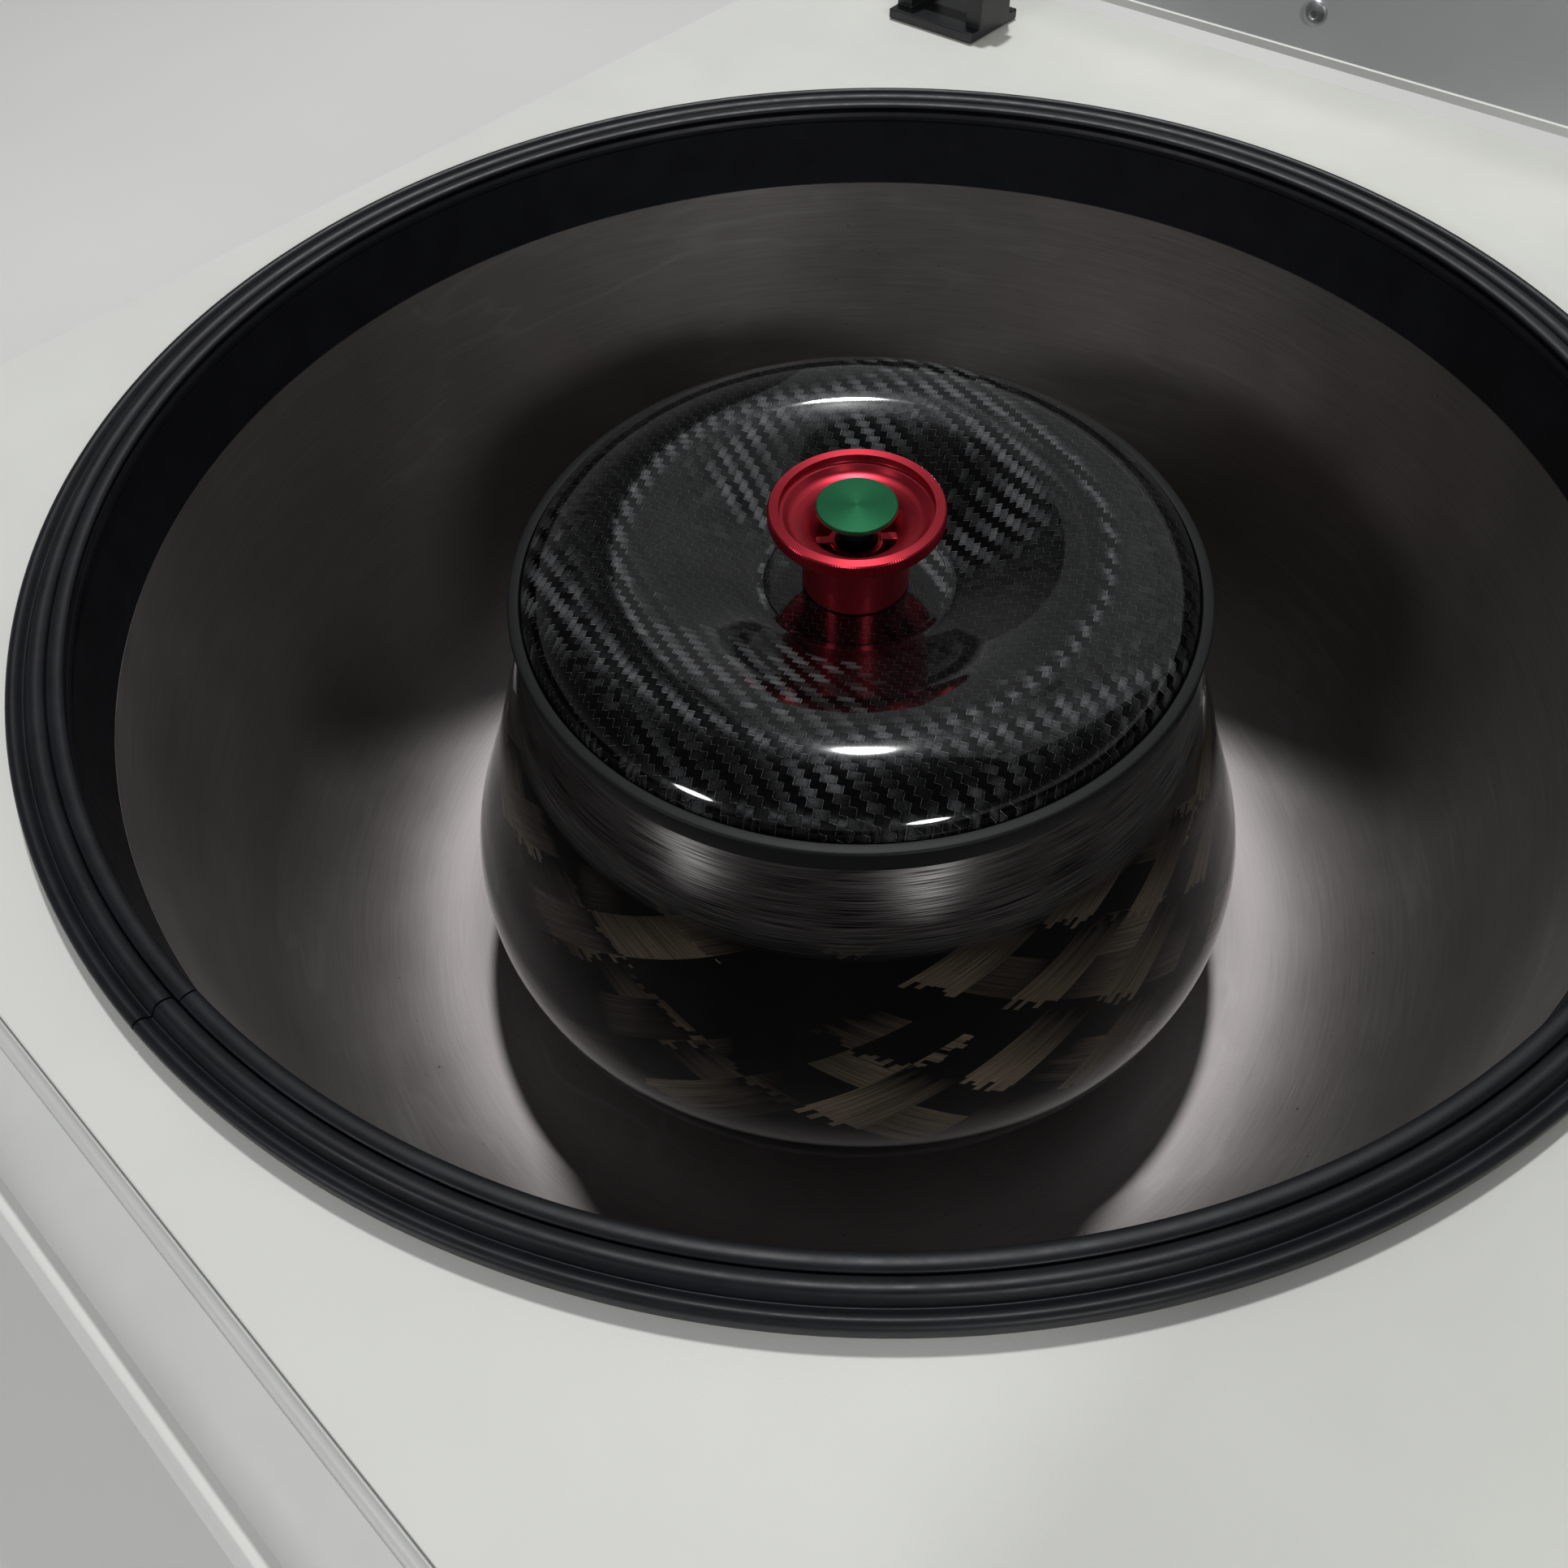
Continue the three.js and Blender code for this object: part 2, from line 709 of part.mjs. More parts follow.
function makeInsulation() {
  const top = bowlTop - bowlWall - fit;
  const radius = bowlCorner + bowlWall + fit;
  const hole = motorRadius + coilStandoff;
  const shelf = bowlFloor - bowlWall - fit;
  const arc = cornerArc(radius, bowlCornerSteps);
  add(chamber, 'bowl_insulation', turned([
    [foamInner, top], [foamInner, cornerTop], ...arc, [coneFoot + fit, shelf], [hole, shelf],
    [hole, shelf - foamFloor], [foamOuter, shelf - foamFloor], [foamOuter, top]], ringSteps), foam);
}

function makeCoil() {
  const drop = bowlTop - coilDrop;
  const turns = coilTurns * coilSteps;
  const points = Array.from({ length: turns + 1 }, (_, n) => {
    const angle = n / coilSteps * 2 * Math.PI;
    return new THREE.Vector3(coilRadius * Math.cos(angle), coilRadius * Math.sin(angle),
      drop - n / coilSteps * coilPitch);
  });
  const path = new THREE.CatmullRomCurve3(points);
  const corners = Array.from({ length: coilSides }, (_, n) => {
    const angle = n / coilSides * 2 * Math.PI;
    return [coilTube / 2 * Math.cos(angle), coilTube / 2 * Math.sin(angle)];
  });
  add(chamber, 'evaporator_coil', new THREE.ExtrudeGeometry(outline(corners), {
    steps: turns, bevelEnabled: false, extrudePath: path }), copper);
}

function makeGuard() {
  const bottom = panFloor - deckHeight + fit;
  add(chamber, 'guard_ring', turned([
    [guardInner, bottom], [guardOuter, bottom], [guardOuter, -deckWall - guardDrop],
    [guardInner, -deckWall - guardDrop]], ringSteps), plainSteel);
}

function makeBoot() {
  const foot = coneTop + fit;
  const bore = shaftRadius + bootLip;
  add(chamber, 'spindle_boot', turned([
    [bore, foot], [bootRadius + bootLip, foot], [bootRadius + bootLip, foot + bootRise / 3],
    [bootRadius * bootWaistShare, foot + bootRise / 2], [bore + bootLip, foot + bootRise],
    [bore, foot + bootRise]], midSteps), blackRubber);
}

// Motor: a ribbed can under the bowl whose neck rises inside the bowl's centre cone
function makeMotor() {
  const bottom = panFloor + motorSeat - deckHeight;
  const can = bowlFloor - bowlWall - motorNeckGap;
  const neckTop = coneTop - bowlWall - motorNeckGap;
  const shaftEnd = hubBottom - fit - flangeWall - shaftLength - rimDrop;
  const pitch = (can - bottom - motorCap) / finCount;
  const ribs = Array.from({ length: finCount }, (_, n) => {
    const z = bottom + motorCap + n * pitch;
    return [[motorRadius, z], [motorRadius - finDepth, z], [motorRadius - finDepth, z + finGap],
      [motorRadius, z + finGap]];
  }).flat();
  add(chamber, 'motor_housing', turned([
    [0, bottom], [motorRadius, bottom], ...ribs, [motorRadius, can], [motorNeckRadius, can + motorNeckGap],
    [motorNeckRadius, neckTop], [boreRadius, neckTop], [boreRadius, shaftEnd - fit], [0, shaftEnd - fit]],
  midSteps), blackEnamel);
  for (let n = 0; n < mountCount; n += 1) {
    const mount = drum(mountRadius, panFloor + fit - deckHeight, bottom - fit, smallSteps);
    mount.translate(motorRadius - mountInset, 0, 0).rotateZ((n + 0.5) * 2 * Math.PI / mountCount);
    add(chamber, `motor_mount_${n + 1}`, mount, blackRubber);
  }
}

makeBowl();
makeCollar();
makeGasket();
makeInsulation();
makeCoil();
makeGuard();
makeBoot();
makeMotor();

// Cabinet
const innerLeft = left + panelWall + fit;
const innerRight = right - panelWall - fit;
const innerRear = rear - panelWall - fit;
const frontBack = front + frontWall + fit;

function makeBase() {
  const x = [innerLeft, innerRight];
  const y = [frontBack, innerRear];
  const tray = block(x, y, [panBottom, panBottom + panHeight]);
  const room = block([x[0] + panWall, x[1] - panWall], [y[0] + panWall, y[1] - panWall],
    [panFloor, panBottom + panHeight + overrun]);
  add(part, 'base_pan', cut(tray, room), zincSteel);
  for (const [side, sign] of [['left', -1], ['right', 1]]) {
    for (const [end, way] of [['front', -1], ['rear', 1]]) {
      const foot = turned([[0, 0], [footRadius, 0], [footRadius - footWaist, footHeight / 2],
        [footRadius, footHeight - fit], [0, footHeight - fit]], smallSteps);
      add(placed(part, sign * (right - footInset), way * (rear - footInset), 0), `foot_${end}_${side}`,
        foot, blackRubber);
    }
  }
}

function louvres(count, length, pitch, width) {
  return Array.from({ length: count }, (_, n) => {
    const slot = new THREE.Path();
    const [x, y] = [(n - (count - 1) / 2) * pitch, length / 2];
    slot.moveTo(x - width / 2, -y);
    slot.lineTo(x + width / 2, -y);
    slot.lineTo(x + width / 2, y);
    slot.lineTo(x - width / 2, y);
    return slot;
  });
}

const towerMiddle = (bayRight + right) / 2;
const ventMiddle = panBottom + panHeight + louvreLength;

function makePanels() {
  const z = [panBottom, deckUnder - fit];
  const inside = frontWall + fit;
  const lip = deckHeight - noseLip - fit;
  const bay = outline([[rear, z[0]], [rear, z[1]], [noseBack + fit, z[1]], [noseBack + fit, lip],
    [noseBack - inside, lip], ...offsetLine(frontLine(), inside).slice(noseSteps + 1)]);
  add(part, 'left_side_panel', alongX(bay, left, left + panelWall), whitePaint);

  const towerUnder = towerTop - deckWall - fit;
  const edge = offsetLine(towerLine(), inside).slice(2);
  const start = [towerBack + towerShoulder + inside, towerUnder];
  const tall = outline([[rear, panBottom], [rear, towerUnder], start, ...edge]);
  const side = alongX(tall, right - panelWall, right);
  const slots = louvres(louvreCount, louvreLength, louvrePitch, louvreWidth).map((slot) => {
    const shape = new THREE.Shape(slot.getPoints());
    return alongX(shape, right - panelWall - overrun, right + overrun).translate(0, 0, ventMiddle);
  });
  add(part, 'right_side_panel', cut(side, ...slots), whitePaint);

  const back = outline([[innerLeft, panBottom], [innerRight, panBottom], [innerRight, towerUnder],
    [bayRight + fit, towerUnder], [bayRight + fit, deckUnder - fit], [innerLeft, deckUnder - fit]]);
  const vents = louvres(louvreCount, louvreLength, louvrePitch, louvreWidth).map((slot) => {
    const shape = new THREE.Shape(slot.getPoints());
    const tool = alongY(shape, rear - panelWall - overrun, rear + overrun);
    return tool.translate(towerMiddle, 0, ventMiddle + coreBase);
  });
  const holes = [
    [inletX, inletWidth + 2 * fit, inletHeight + 2 * fit],
    [switchX, switchWidth + 2 * fit, switchHeight + 2 * fit]].map(([x, width, height]) =>
    block([x - width / 2, x + width / 2], [rear - panelWall - overrun, rear + overrun],
      [inletRise - height / 2, inletRise + height / 2]));
  add(part, 'rear_panel', cut(alongY(back, rear - panelWall, rear), ...vents, ...holes), whitePaint);

  const wallRear = innerRear - panWall - fit;
  const wallFront = frontBack + panWall + fit;
  const [shoulder, brow] = edge;
  const wall = outline([[wallRear, panFloor + fit], [wallRear, towerUnder], start, shoulder, brow,
    [wallFront, brow[1]], [wallFront, panFloor + fit]]);
  add(part, 'bulkhead', alongX(wall, bayRight + fit, bayRight + fit + bulkheadWall), whitePaint);
}

// Deck: the top plate with the chamber mouth and the two latch slots
function makeDeck() {
  const plate = block([left, bayRight - fit], [deckFront, rear], [deckUnder, deckHeight]);
  const mouth = drum(collarOuter + fit, deckUnder - overrun, deckHeight + overrun, ringSteps);
  mouth.translate(spindleX, spindleY, 0);
  const slotFront = deckFront + latchInset;
  const slot = block([-slotWidth / 2, slotWidth / 2], [slotFront, slotFront + slotDepth],
    [deckUnder - overrun, deckHeight + overrun]);
  const slots = [-1, 1].map((sign) => slot.clone().translate(spindleX + sign * latchSpan, 0, 0));
  add(part, 'deck_cover', cut(plate, mouth, ...slots), whitePaint);
}

// Front panel: a rounded nose beyond the groove, a step and a leaning face down to the base
function noseLine(top) {
  return Array.from({ length: noseSteps + 1 }, (_, n) => {
    const turn = n / noseSteps * Math.PI / 2;
    return [noseBack - noseDepth * Math.sin(turn), top - noseDrop * (1 - Math.cos(turn))];
  });
}

function frontLine() {
  const top = deckHeight;
  const stepZ = top - noseDrop - fasciaStepDrop;
  return [[noseBack, top - noseLip], ...noseLine(top), [noseFront, stepZ], [noseFront - fasciaStep, stepZ],
    [front, stepZ - fasciaRun], [front, panBottom]];
}

function makeFront() {
  add(part, 'front_panel', alongX(sheet(frontLine(), frontWall), left, bayRight - fit), greyPlastic);
}

const towerBack = front + towerLean;
const leanAngle = Math.atan2(towerLean, towerRun);
const fasciaTop = towerTop - towerShoulder;

// Tower front: a leaning control face with a display window and a row of keys
function towerLine() {
  const crown = towerBack + towerShoulder;
  return [[crown + towerTab, towerTop], [crown, towerTop], [towerBack, fasciaTop],
    [front, fasciaTop - towerRun], [front, panBottom]];
}

function makeTower() {
  const face = alongX(sheet(towerLine(), frontWall), bayRight + fit, right);
  const window = rounded(displayWidth + 2 * fit, displayHeight + 2 * fit, displayCorner + fit);
  const through = 2 * overrun + frontWall;
  const holes = [onFace(upright(window, through, 2), 0, displayDown, -overrun - frontWall)];
  for (let n = 0; n < keyCount; n += 1) {
    const hole = rounded(keySize + 2 * fit, keySize + 2 * fit, keyCorner + fit);
    holes.push(onFace(upright(hole, through, 1), keyPlace(n), keyDown, -overrun - frontWall));
  }
  add(part, 'control_fascia', cut(face, ...holes), greyPlastic);

  const lens = rounded(displayWidth, displayHeight, displayCorner);
  const pane = upright(lens, displayWall, 2);
  add(part, 'display_lens', onFace(pane, 0, displayDown, -displayWall - fit), displayGlass);
  for (let n = 0; n < keyCount; n += 1) {
    const key = upright(rounded(keySize, keySize, keyCorner), keyWall, 1);
    add(part, `key_${n + 1}`, onFace(key, keyPlace(n), keyDown, keyProud - keyWall), keyPlastic);
  }
  const crown = towerBack + towerShoulder + towerTab + fit;
  const cover = block([bayRight, right], [crown, rear], [towerTop - deckWall, towerTop]);
  const slots = louvres(louvreCount, louvreLength, louvrePitch, louvreWidth).map((slot) =>
    upright(new THREE.Shape(slot.getPoints()), deckWall + 2 * overrun).translate(
      towerMiddle, rear - louvreLength, towerTop - deckWall - overrun));
  add(part, 'tower_cover', cut(cover, ...slots), whitePaint);
}

// A piece drawn face up, laid on the leaning face: across from the tower's middle, down from the face's top
function onFace(geometry, across, down, out) {
  geometry.translate(across, 0, out).rotateX(Math.PI / 2 - leanAngle);
  return geometry.translate(towerMiddle, towerBack - down * Math.sin(leanAngle),
    fasciaTop - down * Math.cos(leanAngle));
}

function keyPlace(index) {
  return (index - (keyCount - 1) / 2) * keyPitch;
}

const inletX = right - inletInset;
const switchX = inletX - inletWidth / 2 - switchGap;

function makeInlet() {
  const hole = (width, height, y0, y1) => block([inletX - width / 2, inletX + width / 2], [y0, y1],
    [inletRise - height / 2, inletRise + height / 2]);
  const back = rear - inletDepth;
  const flange = hole(inletWidth + 2 * inletFlange, inletHeight + 2 * inletFlange,
    innerRear - panelWall - fit, innerRear - fit);
  const body = hole(inletWidth, inletHeight, back, rear);
  const [wellWidth, wellHeight] = [inletWidth - 2 * inletWall, inletHeight - 2 * inletWall];
  const well = hole(wellWidth, wellHeight, back + inletWall, rear + overrun);
  const pins = Array.from({ length: pinCount }, (_, n) => {
    const x = inletX + (n - (pinCount - 1) / 2) * pinPitch;
    return block([x - pinSize / 4, x + pinSize / 4], [back, rear - pinSize],
      [inletRise - pinSize / 2, inletRise + pinSize / 2]);
  });
  add(part, 'power_inlet', join(cut(join(body, flange), well), ...pins), blackPlastic);

  const half = switchHeight / 2;
  const wedge = outline([[-switchDepth, -switchTail / 2], [-switchTip, -half], [-switchTip, 0], [0, half],
    [-switchDepth, switchTail / 2]]);
  const rocker = alongX(wedge, -switchWidth / 2, switchWidth / 2);
  add(placed(part, switchX, rear, inletRise), 'power_switch', rocker, blackPlastic);
}

makeBase();
makePanels();
makeDeck();
makeFront();
makeTower();
makeInlet();

// Refrigeration set in the tower
const coreFront = rear - coreSetback - coreDepth;
const fanAxisZ = panFloor + fit + coreBase + coreHeight / 2;
const coreWidth = towerWidth - 2 * coreMargin - 2 * panelWall;

function makeCompressor() {
  const y = front + compressorSetback;
  const foot = panFloor + fit;
  const base = upright(rounded(compressorSpread, compressorSpread, compressorBase), compressorBase, 1);
  const can = turned([[0, 0], ...compressorShares.map(([out, up]) =>
    [out * compressorRadius, up * compressorHeight]), [0, compressorHeight]], midSteps);
  const whole = join(base, can.translate(0, 0, compressorBase / 2));
  add(placed(part, towerMiddle, y, foot), 'compressor', whole, blackEnamel);
}

function makeCondenser() {
  const pitch = coreWidth / coreFins;
  const points = [];
  for (let n = 0; n < coreFins; n += 1) {
    const x = n * pitch - coreWidth / 2;
    points.push([x, coreDepth / 2], [x + pitch / 2, coreDepth / 2], [x + pitch / 2, coreSpine / 2],
      [x + pitch, coreSpine / 2]);
  }
  points.pop();
  const last = points.pop()[0];
  const edge = [[-coreWidth / 2, -coreDepth / 2], [last, -coreDepth / 2], ...points.reverse()];
  const comb = upright(outline(edge), coreHeight);
  const base = block([-coreWidth / 2, last], [-coreDepth / 2, coreDepth / 2], [-coreBase, overrun]);
  add(placed(part, towerMiddle, coreFront + coreDepth / 2, panFloor + fit + coreBase), 'condenser_core',
    join(comb, base), plainSteel);
}

function makeFan() {
  const plateBack = coreFront - fit;
  const plateFront = plateBack - shroudDepth;
  const half = fanRadius + 2 * fanClear;
  const hub = placed(part, towerMiddle, plateFront, fanAxisZ);
  const foot = panFloor + fit - fanAxisZ;
  const plate = block([-half, half], [0, shroudDepth], [foot, half]);
  const throat = fanRadius + fanClear;
  const round = new THREE.CylinderGeometry(throat, throat, shroudDepth + 2 * overrun, midSteps);
  round.translate(0, shroudDepth / 2, 0);
  const strut = block([-half, half], [0, shroudWall], [-strutWidth / 2, strutWidth / 2]);
  add(hub, 'fan_shroud', join(cut(plate, round), strut), blackPlastic);

  const motor = new THREE.CylinderGeometry(fanMotorRadius, fanMotorRadius, fanMotorLength, smallSteps);
  add(hub, 'fan_motor', motor.translate(0, -fanMotorLength / 2 - fit, 0), blackEnamel);

  const bladeRoom = shroudWall + fit;
  const middle = bladeRoom + fanDepth / 2;
  const core = new THREE.CylinderGeometry(fanHub, fanHub, fanDepth, smallSteps).translate(0, middle, 0);
  const blades = Array.from({ length: bladeCount }, (_, n) => {
    const blade = new THREE.BoxGeometry(bladeWidth, bladeWall, fanRadius - fanHub / 2);
    blade.rotateZ(THREE.MathUtils.degToRad(bladePitch));
    blade.translate(0, middle, (fanRadius + fanHub / 2) / 2);
    return blade.rotateY(n * 2 * Math.PI / bladeCount);
  });
  const sweep = new THREE.CylinderGeometry(fanRadius, fanRadius, fanDepth, midSteps);
  sweep.translate(0, middle, 0);
  add(hub, 'condenser_fan', within(join(core, ...blades), sweep), blackPlastic);
}

function makeElectronics() {
  const width = towerWidth - 2 * boxMargin - 2 * panelWall;
  const top = towerTop - deckWall - fit;
  const y0 = towerBack + boxGap + frontWall;
  const body = block([towerMiddle - width / 2, towerMiddle + width / 2], [y0, y0 + boxDepth],
    [top - boxHeight, top]);
  const grooves = Array.from({ length: boxRibs }, (_, n) => {
    const y = y0 + (n + 0.5) * boxDepth / boxRibs;
    return block([towerMiddle - width, towerMiddle + width], [y - boxRib / 2, y + boxRib / 2],
      [top - boxHeight - overrun, top - boxHeight + boxRib]);
  });
  add(part, 'electronics_box', cut(body, ...grooves), zincSteel);
}

makeCompressor();
makeCondenser();
makeFan();
makeElectronics();

// Lid: drawn closed about its hinge line and turned up to rest open
const hingeY = rear - hingeSetback;
const hingeZ = deckHeight + hingeRise;
const raised = placed(part, spindleX, hingeY, hingeZ);
raised.rotation.x = -THREE.MathUtils.degToRad(lidOpenAngle);
const lidBottom = lidGap - hingeRise;
const lidTop = lidRise - hingeRise;
const lidFront = front - hingeY;
const lidRear = -lidRearGap;
const lidHalf = bayWidth / 2 - lidSideGap;
const axisY = spindleY - hingeY;

function lidSection(inset) {
  const [y0, y1] = [lidFront + inset, lidRear - inset];
  const [z0, z1] = [lidBottom, lidTop - inset];
  return outline([[y0, z0], [y1, z0], [y1, z1 - lidNose], [y1 - lidNose / 3, z1 - lidNose / 3],
    [y1 - lidNose, z1], [y0 + lidFrontSlope + lidNose, z1], [y0 + lidFrontSlope, z1 - lidNose / 4],
    [y0 + lidNose / 4, z1 - lidFrontSlope], [y0, z1 - lidFrontSlope - lidNose / 2]]);
}

function makeLid() {
  const shellSide = new THREE.ExtrudeGeometry(lidSection(lidBevel), {
    depth: 2 * (lidHalf - lidBevel), bevelEnabled: true, bevelThickness: lidBevel, bevelSize: lidBevel,
    bevelSegments: 2, curveSegments: 2 });
  const turn = new THREE.Matrix4().makeBasis(
    new THREE.Vector3(0, 1, 0), new THREE.Vector3(0, 0, 1), new THREE.Vector3(1, 0, 0));
  shellSide.applyMatrix4(turn).translate(-lidHalf + lidBevel, 0, 0);
  const skirt = block([-lidHalf - overrun, lidHalf + overrun], [lidFront - overrun, lidRear + overrun],
    [lidBottom, lidTop + overrun]);
  const room = alongX(lidSection(lidShell), -lidHalf + lidShell, lidHalf - lidShell).translate(0, 0, -fit);
  const port = drum(windowRadius + fit, lidBottom - overrun, lidTop + overrun).translate(0, axisY, 0);
  const grip = alongX(rounded(gripDepth, gripHeight, gripCorner), -gripWidth / 2, gripWidth / 2);
  grip.translate(0, lidFront, lidBottom + gripHeight);
  const armSlots = [-1, 1].map((sign) => block(
    [sign * hingeSpan - armWidth / 2 - fit, sign * hingeSpan + armWidth / 2 + fit],
    [lidRear - lidShell - overrun, lidRear + overrun],
    [lidBottom - overrun, lidBottom + linerWall + armWall + 2 * fit]));
  add(raised, 'lid_shell', cut(within(shellSide, skirt), room, port, grip, ...armSlots), whitePaint);
}

// Liner: a pressed plate with a dished centre inside the gasket and a tube that seats the view port
function makeLiner() {
  const outerLand = mouthRadius - landInset;
  const innerLand = outerLand - dishSlope;
  const tube = windowRadius - windowSeat;
  const top = lidBottom + linerWall;
  const seat = lidTop - windowWall - fit;
  const dish = turned([
    [tube, lidBottom + dishRise], [innerLand, lidBottom + dishRise], [outerLand, lidBottom],
    [outerLand + 2 * linerWall, lidBottom], [outerLand + 2 * linerWall, top], [outerLand, top],
    [innerLand, top + dishRise], [tube + windowTube, top + dishRise], [tube + windowTube, seat],
    [tube, seat]], midSteps).translate(0, axisY, 0);
  const half = lidHalf - lidShell - fit;
  const edge = lidShell + fit;
  const plate = block([-half, half], [lidFront + edge, lidRear - edge], [lidBottom, top]);
  const hole = drum(outerLand + linerWall, lidBottom - overrun, top + overrun).translate(0, axisY, 0);
  add(raised, 'lid_liner', join(cut(plate, hole), dish), zincSteel);
  const lens = drum(windowRadius, lidTop - windowWall, lidTop).translate(0, axisY, 0);
  add(raised, 'lid_window', lens, glass);
}

const armWidth = hingeWidth - 2 * hingeCheek - 2 * fit;

function crossPin(radius, half, steps = smallSteps) {
  return new THREE.CylinderGeometry(radius, radius, 2 * half, steps).rotateZ(Math.PI / 2);
}

function makeHinge(side, sign) {
  const stand = placed(part, spindleX + sign * hingeSpan, hingeY, hingeZ);
  const foot = fit - hingeRise;
  const half = hingeWidth / 2;
  const plate = block([-half, half], [-hingeFoot / 2, hingeFoot / 2], [foot, foot + hingePlate]);
  const web = block([-half, half], [-hingeKnuckle, hingeKnuckle], [foot, 0]);
  const gap = block([-armWidth / 2 - fit, armWidth / 2 + fit], [-hingeFoot, hingeFoot],
    [foot + hingePlate, hingeKnuckle + overrun]);
  const bore = crossPin(hingePin + fit, half + overrun);
  const bracket = cut(join(plate, web, crossPin(hingeKnuckle, half)), gap, bore);
  add(stand, `hinge_bracket_${side}`, bracket, blackEnamel);
  const head = crossPin(hingeHead, hingePin / 2);
  add(stand, `hinge_pin_${side}`, join(crossPin(hingePin, half + fit + hingePin / 2),
    head.translate(half + fit + hingePin / 2, 0, 0)), plainSteel);

  const low = lidBottom + linerWall + fit;
  const strap = block([-armWidth / 2, armWidth / 2], [-armLength, 0], [low, low + armWall]);
  const arm = join(crossPin(hingeKnuckle, armWidth / 2), strap);
  add(raised, `hinge_arm_${side}`, cut(arm, bore).translate(sign * hingeSpan, 0, 0), plainSteel);
}

// Latch: a striker on the lid, and a hook that swings through its window on a bracket under the deck
function makeLatch(side, sign) {
  const x = sign * latchSpan;
  const slotY = deckFront + latchInset + slotDepth / 2;
  const half = strikerWidth / 2;
  const noseTop = hookRise - hookDrop;
  const windowTop = noseTop + strikerPlay;
  const windowLow = noseTop - hookThick - strikerPlay;
  const top = lidGap - fit;
  const blade = block([-half, half], [-strikerWall / 2, strikerWall / 2], [windowLow - strikerBar, top]);
  const foot = block([-half, half], [-slotDepth / 2, slotDepth / 2], [top - strikerFoot, top]);
  const opening = half - strikerBar;
  const window = block([-opening, opening], [-slotDepth, slotDepth], [windowLow, windowTop]);
  const striker = cut(join(blade, foot), window).translate(x, slotY - hingeY, -hingeRise);
  add(raised, `striker_${side}`, striker, plainSteel);

  const pivot = placed(part, spindleX + x, slotY + hookBack, deckHeight - hookDrop);
  const under = hookDrop - deckWall - fit;
  const cheekIn = hookWall / 2 + bracketGap;
  const y = [-bracketDepth / 2, bracketDepth / 2];
  const reach = cheekOut + bracketFlange;
  const flange = block([-reach, reach], [y[0], y[1] + bracketFlange / 2], [under - bracketWall, under]);
  const cheeks = [-1, 1].map((way) => block([Math.min(way * cheekIn, way * cheekOut),
    Math.max(way * cheekIn, way * cheekOut)], y, [-hookBoss, under]));
  add(pivot, `latch_bracket_${side}`, join(flange, ...cheeks, crossPin(hookPin, cheekOut)), zincSteel);

  const tip = -hookBack - strikerWall / 2 - hookNose;
  const bar = outline([[-hookThick / 2, 0], [hookThick / 2, 0], [hookThick / 2, hookRise],
    [tip + hookNose, hookRise],
    [tip, hookRise - hookThick / 2], [tip, hookRise - hookThick],
    [-hookThick / 2, hookRise - hookThick]]);
  const hook = join(alongX(bar, -hookWall / 2, hookWall / 2), crossPin(hookBoss, hookWall / 2));
  const swung = cut(hook, crossPin(hookPin + fit, hookWall)).rotateX(-THREE.MathUtils.degToRad(hookSwing));
  add(pivot, `latch_hook_${side}`, swung, plainSteel);
}

makeLid();
makeLiner();
for (const [side, sign] of [['left', -1], ['right', 1]]) {
  makeHinge(side, sign);
  makeLatch(side, sign);
}

part.name = 'refrigerated_centrifuge';

export default part;
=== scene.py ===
"""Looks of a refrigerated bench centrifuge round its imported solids, seen from above its open chamber."""
import json
import math

import bmesh
import bpy
from mathutils import Matrix, Vector

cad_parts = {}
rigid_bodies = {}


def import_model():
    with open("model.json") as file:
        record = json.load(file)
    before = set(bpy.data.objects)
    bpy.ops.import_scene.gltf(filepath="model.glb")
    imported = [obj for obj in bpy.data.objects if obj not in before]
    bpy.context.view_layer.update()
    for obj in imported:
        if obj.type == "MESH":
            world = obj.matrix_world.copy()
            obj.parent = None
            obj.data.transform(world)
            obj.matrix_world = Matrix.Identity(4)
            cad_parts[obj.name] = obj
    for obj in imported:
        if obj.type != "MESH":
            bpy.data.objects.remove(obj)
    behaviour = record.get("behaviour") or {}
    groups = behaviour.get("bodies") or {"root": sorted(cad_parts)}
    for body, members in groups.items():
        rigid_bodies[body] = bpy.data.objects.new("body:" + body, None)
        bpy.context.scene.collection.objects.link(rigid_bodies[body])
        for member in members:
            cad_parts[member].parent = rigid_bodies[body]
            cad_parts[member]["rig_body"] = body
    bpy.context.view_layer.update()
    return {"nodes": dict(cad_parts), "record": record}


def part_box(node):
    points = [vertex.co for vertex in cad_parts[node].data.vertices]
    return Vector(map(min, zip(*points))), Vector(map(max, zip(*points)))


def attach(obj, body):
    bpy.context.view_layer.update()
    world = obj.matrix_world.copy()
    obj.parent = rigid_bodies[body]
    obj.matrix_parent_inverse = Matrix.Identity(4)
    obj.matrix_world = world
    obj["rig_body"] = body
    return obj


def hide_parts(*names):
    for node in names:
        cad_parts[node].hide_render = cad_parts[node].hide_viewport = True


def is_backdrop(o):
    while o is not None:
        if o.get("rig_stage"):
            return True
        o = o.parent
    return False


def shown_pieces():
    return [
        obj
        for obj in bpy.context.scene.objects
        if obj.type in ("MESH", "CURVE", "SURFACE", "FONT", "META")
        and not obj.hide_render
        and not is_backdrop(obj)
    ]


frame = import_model()
NODES = frame["nodes"]
SCENE = bpy.context.scene
SCENE.view_settings.view_transform = "Standard"
MM = 0.001
TURN = 2 * math.pi
ORIGIN = Vector((0, 0, 0))
UP = Vector((0, 0, 1))
EPS = 1e-6
WELD = 1e-4
# Angles in degrees: edges shaded sharp, edges that get a bevel, and joints between flat triangles
SHARP = 32
BEVELLED = 28
FLAT = 0.5

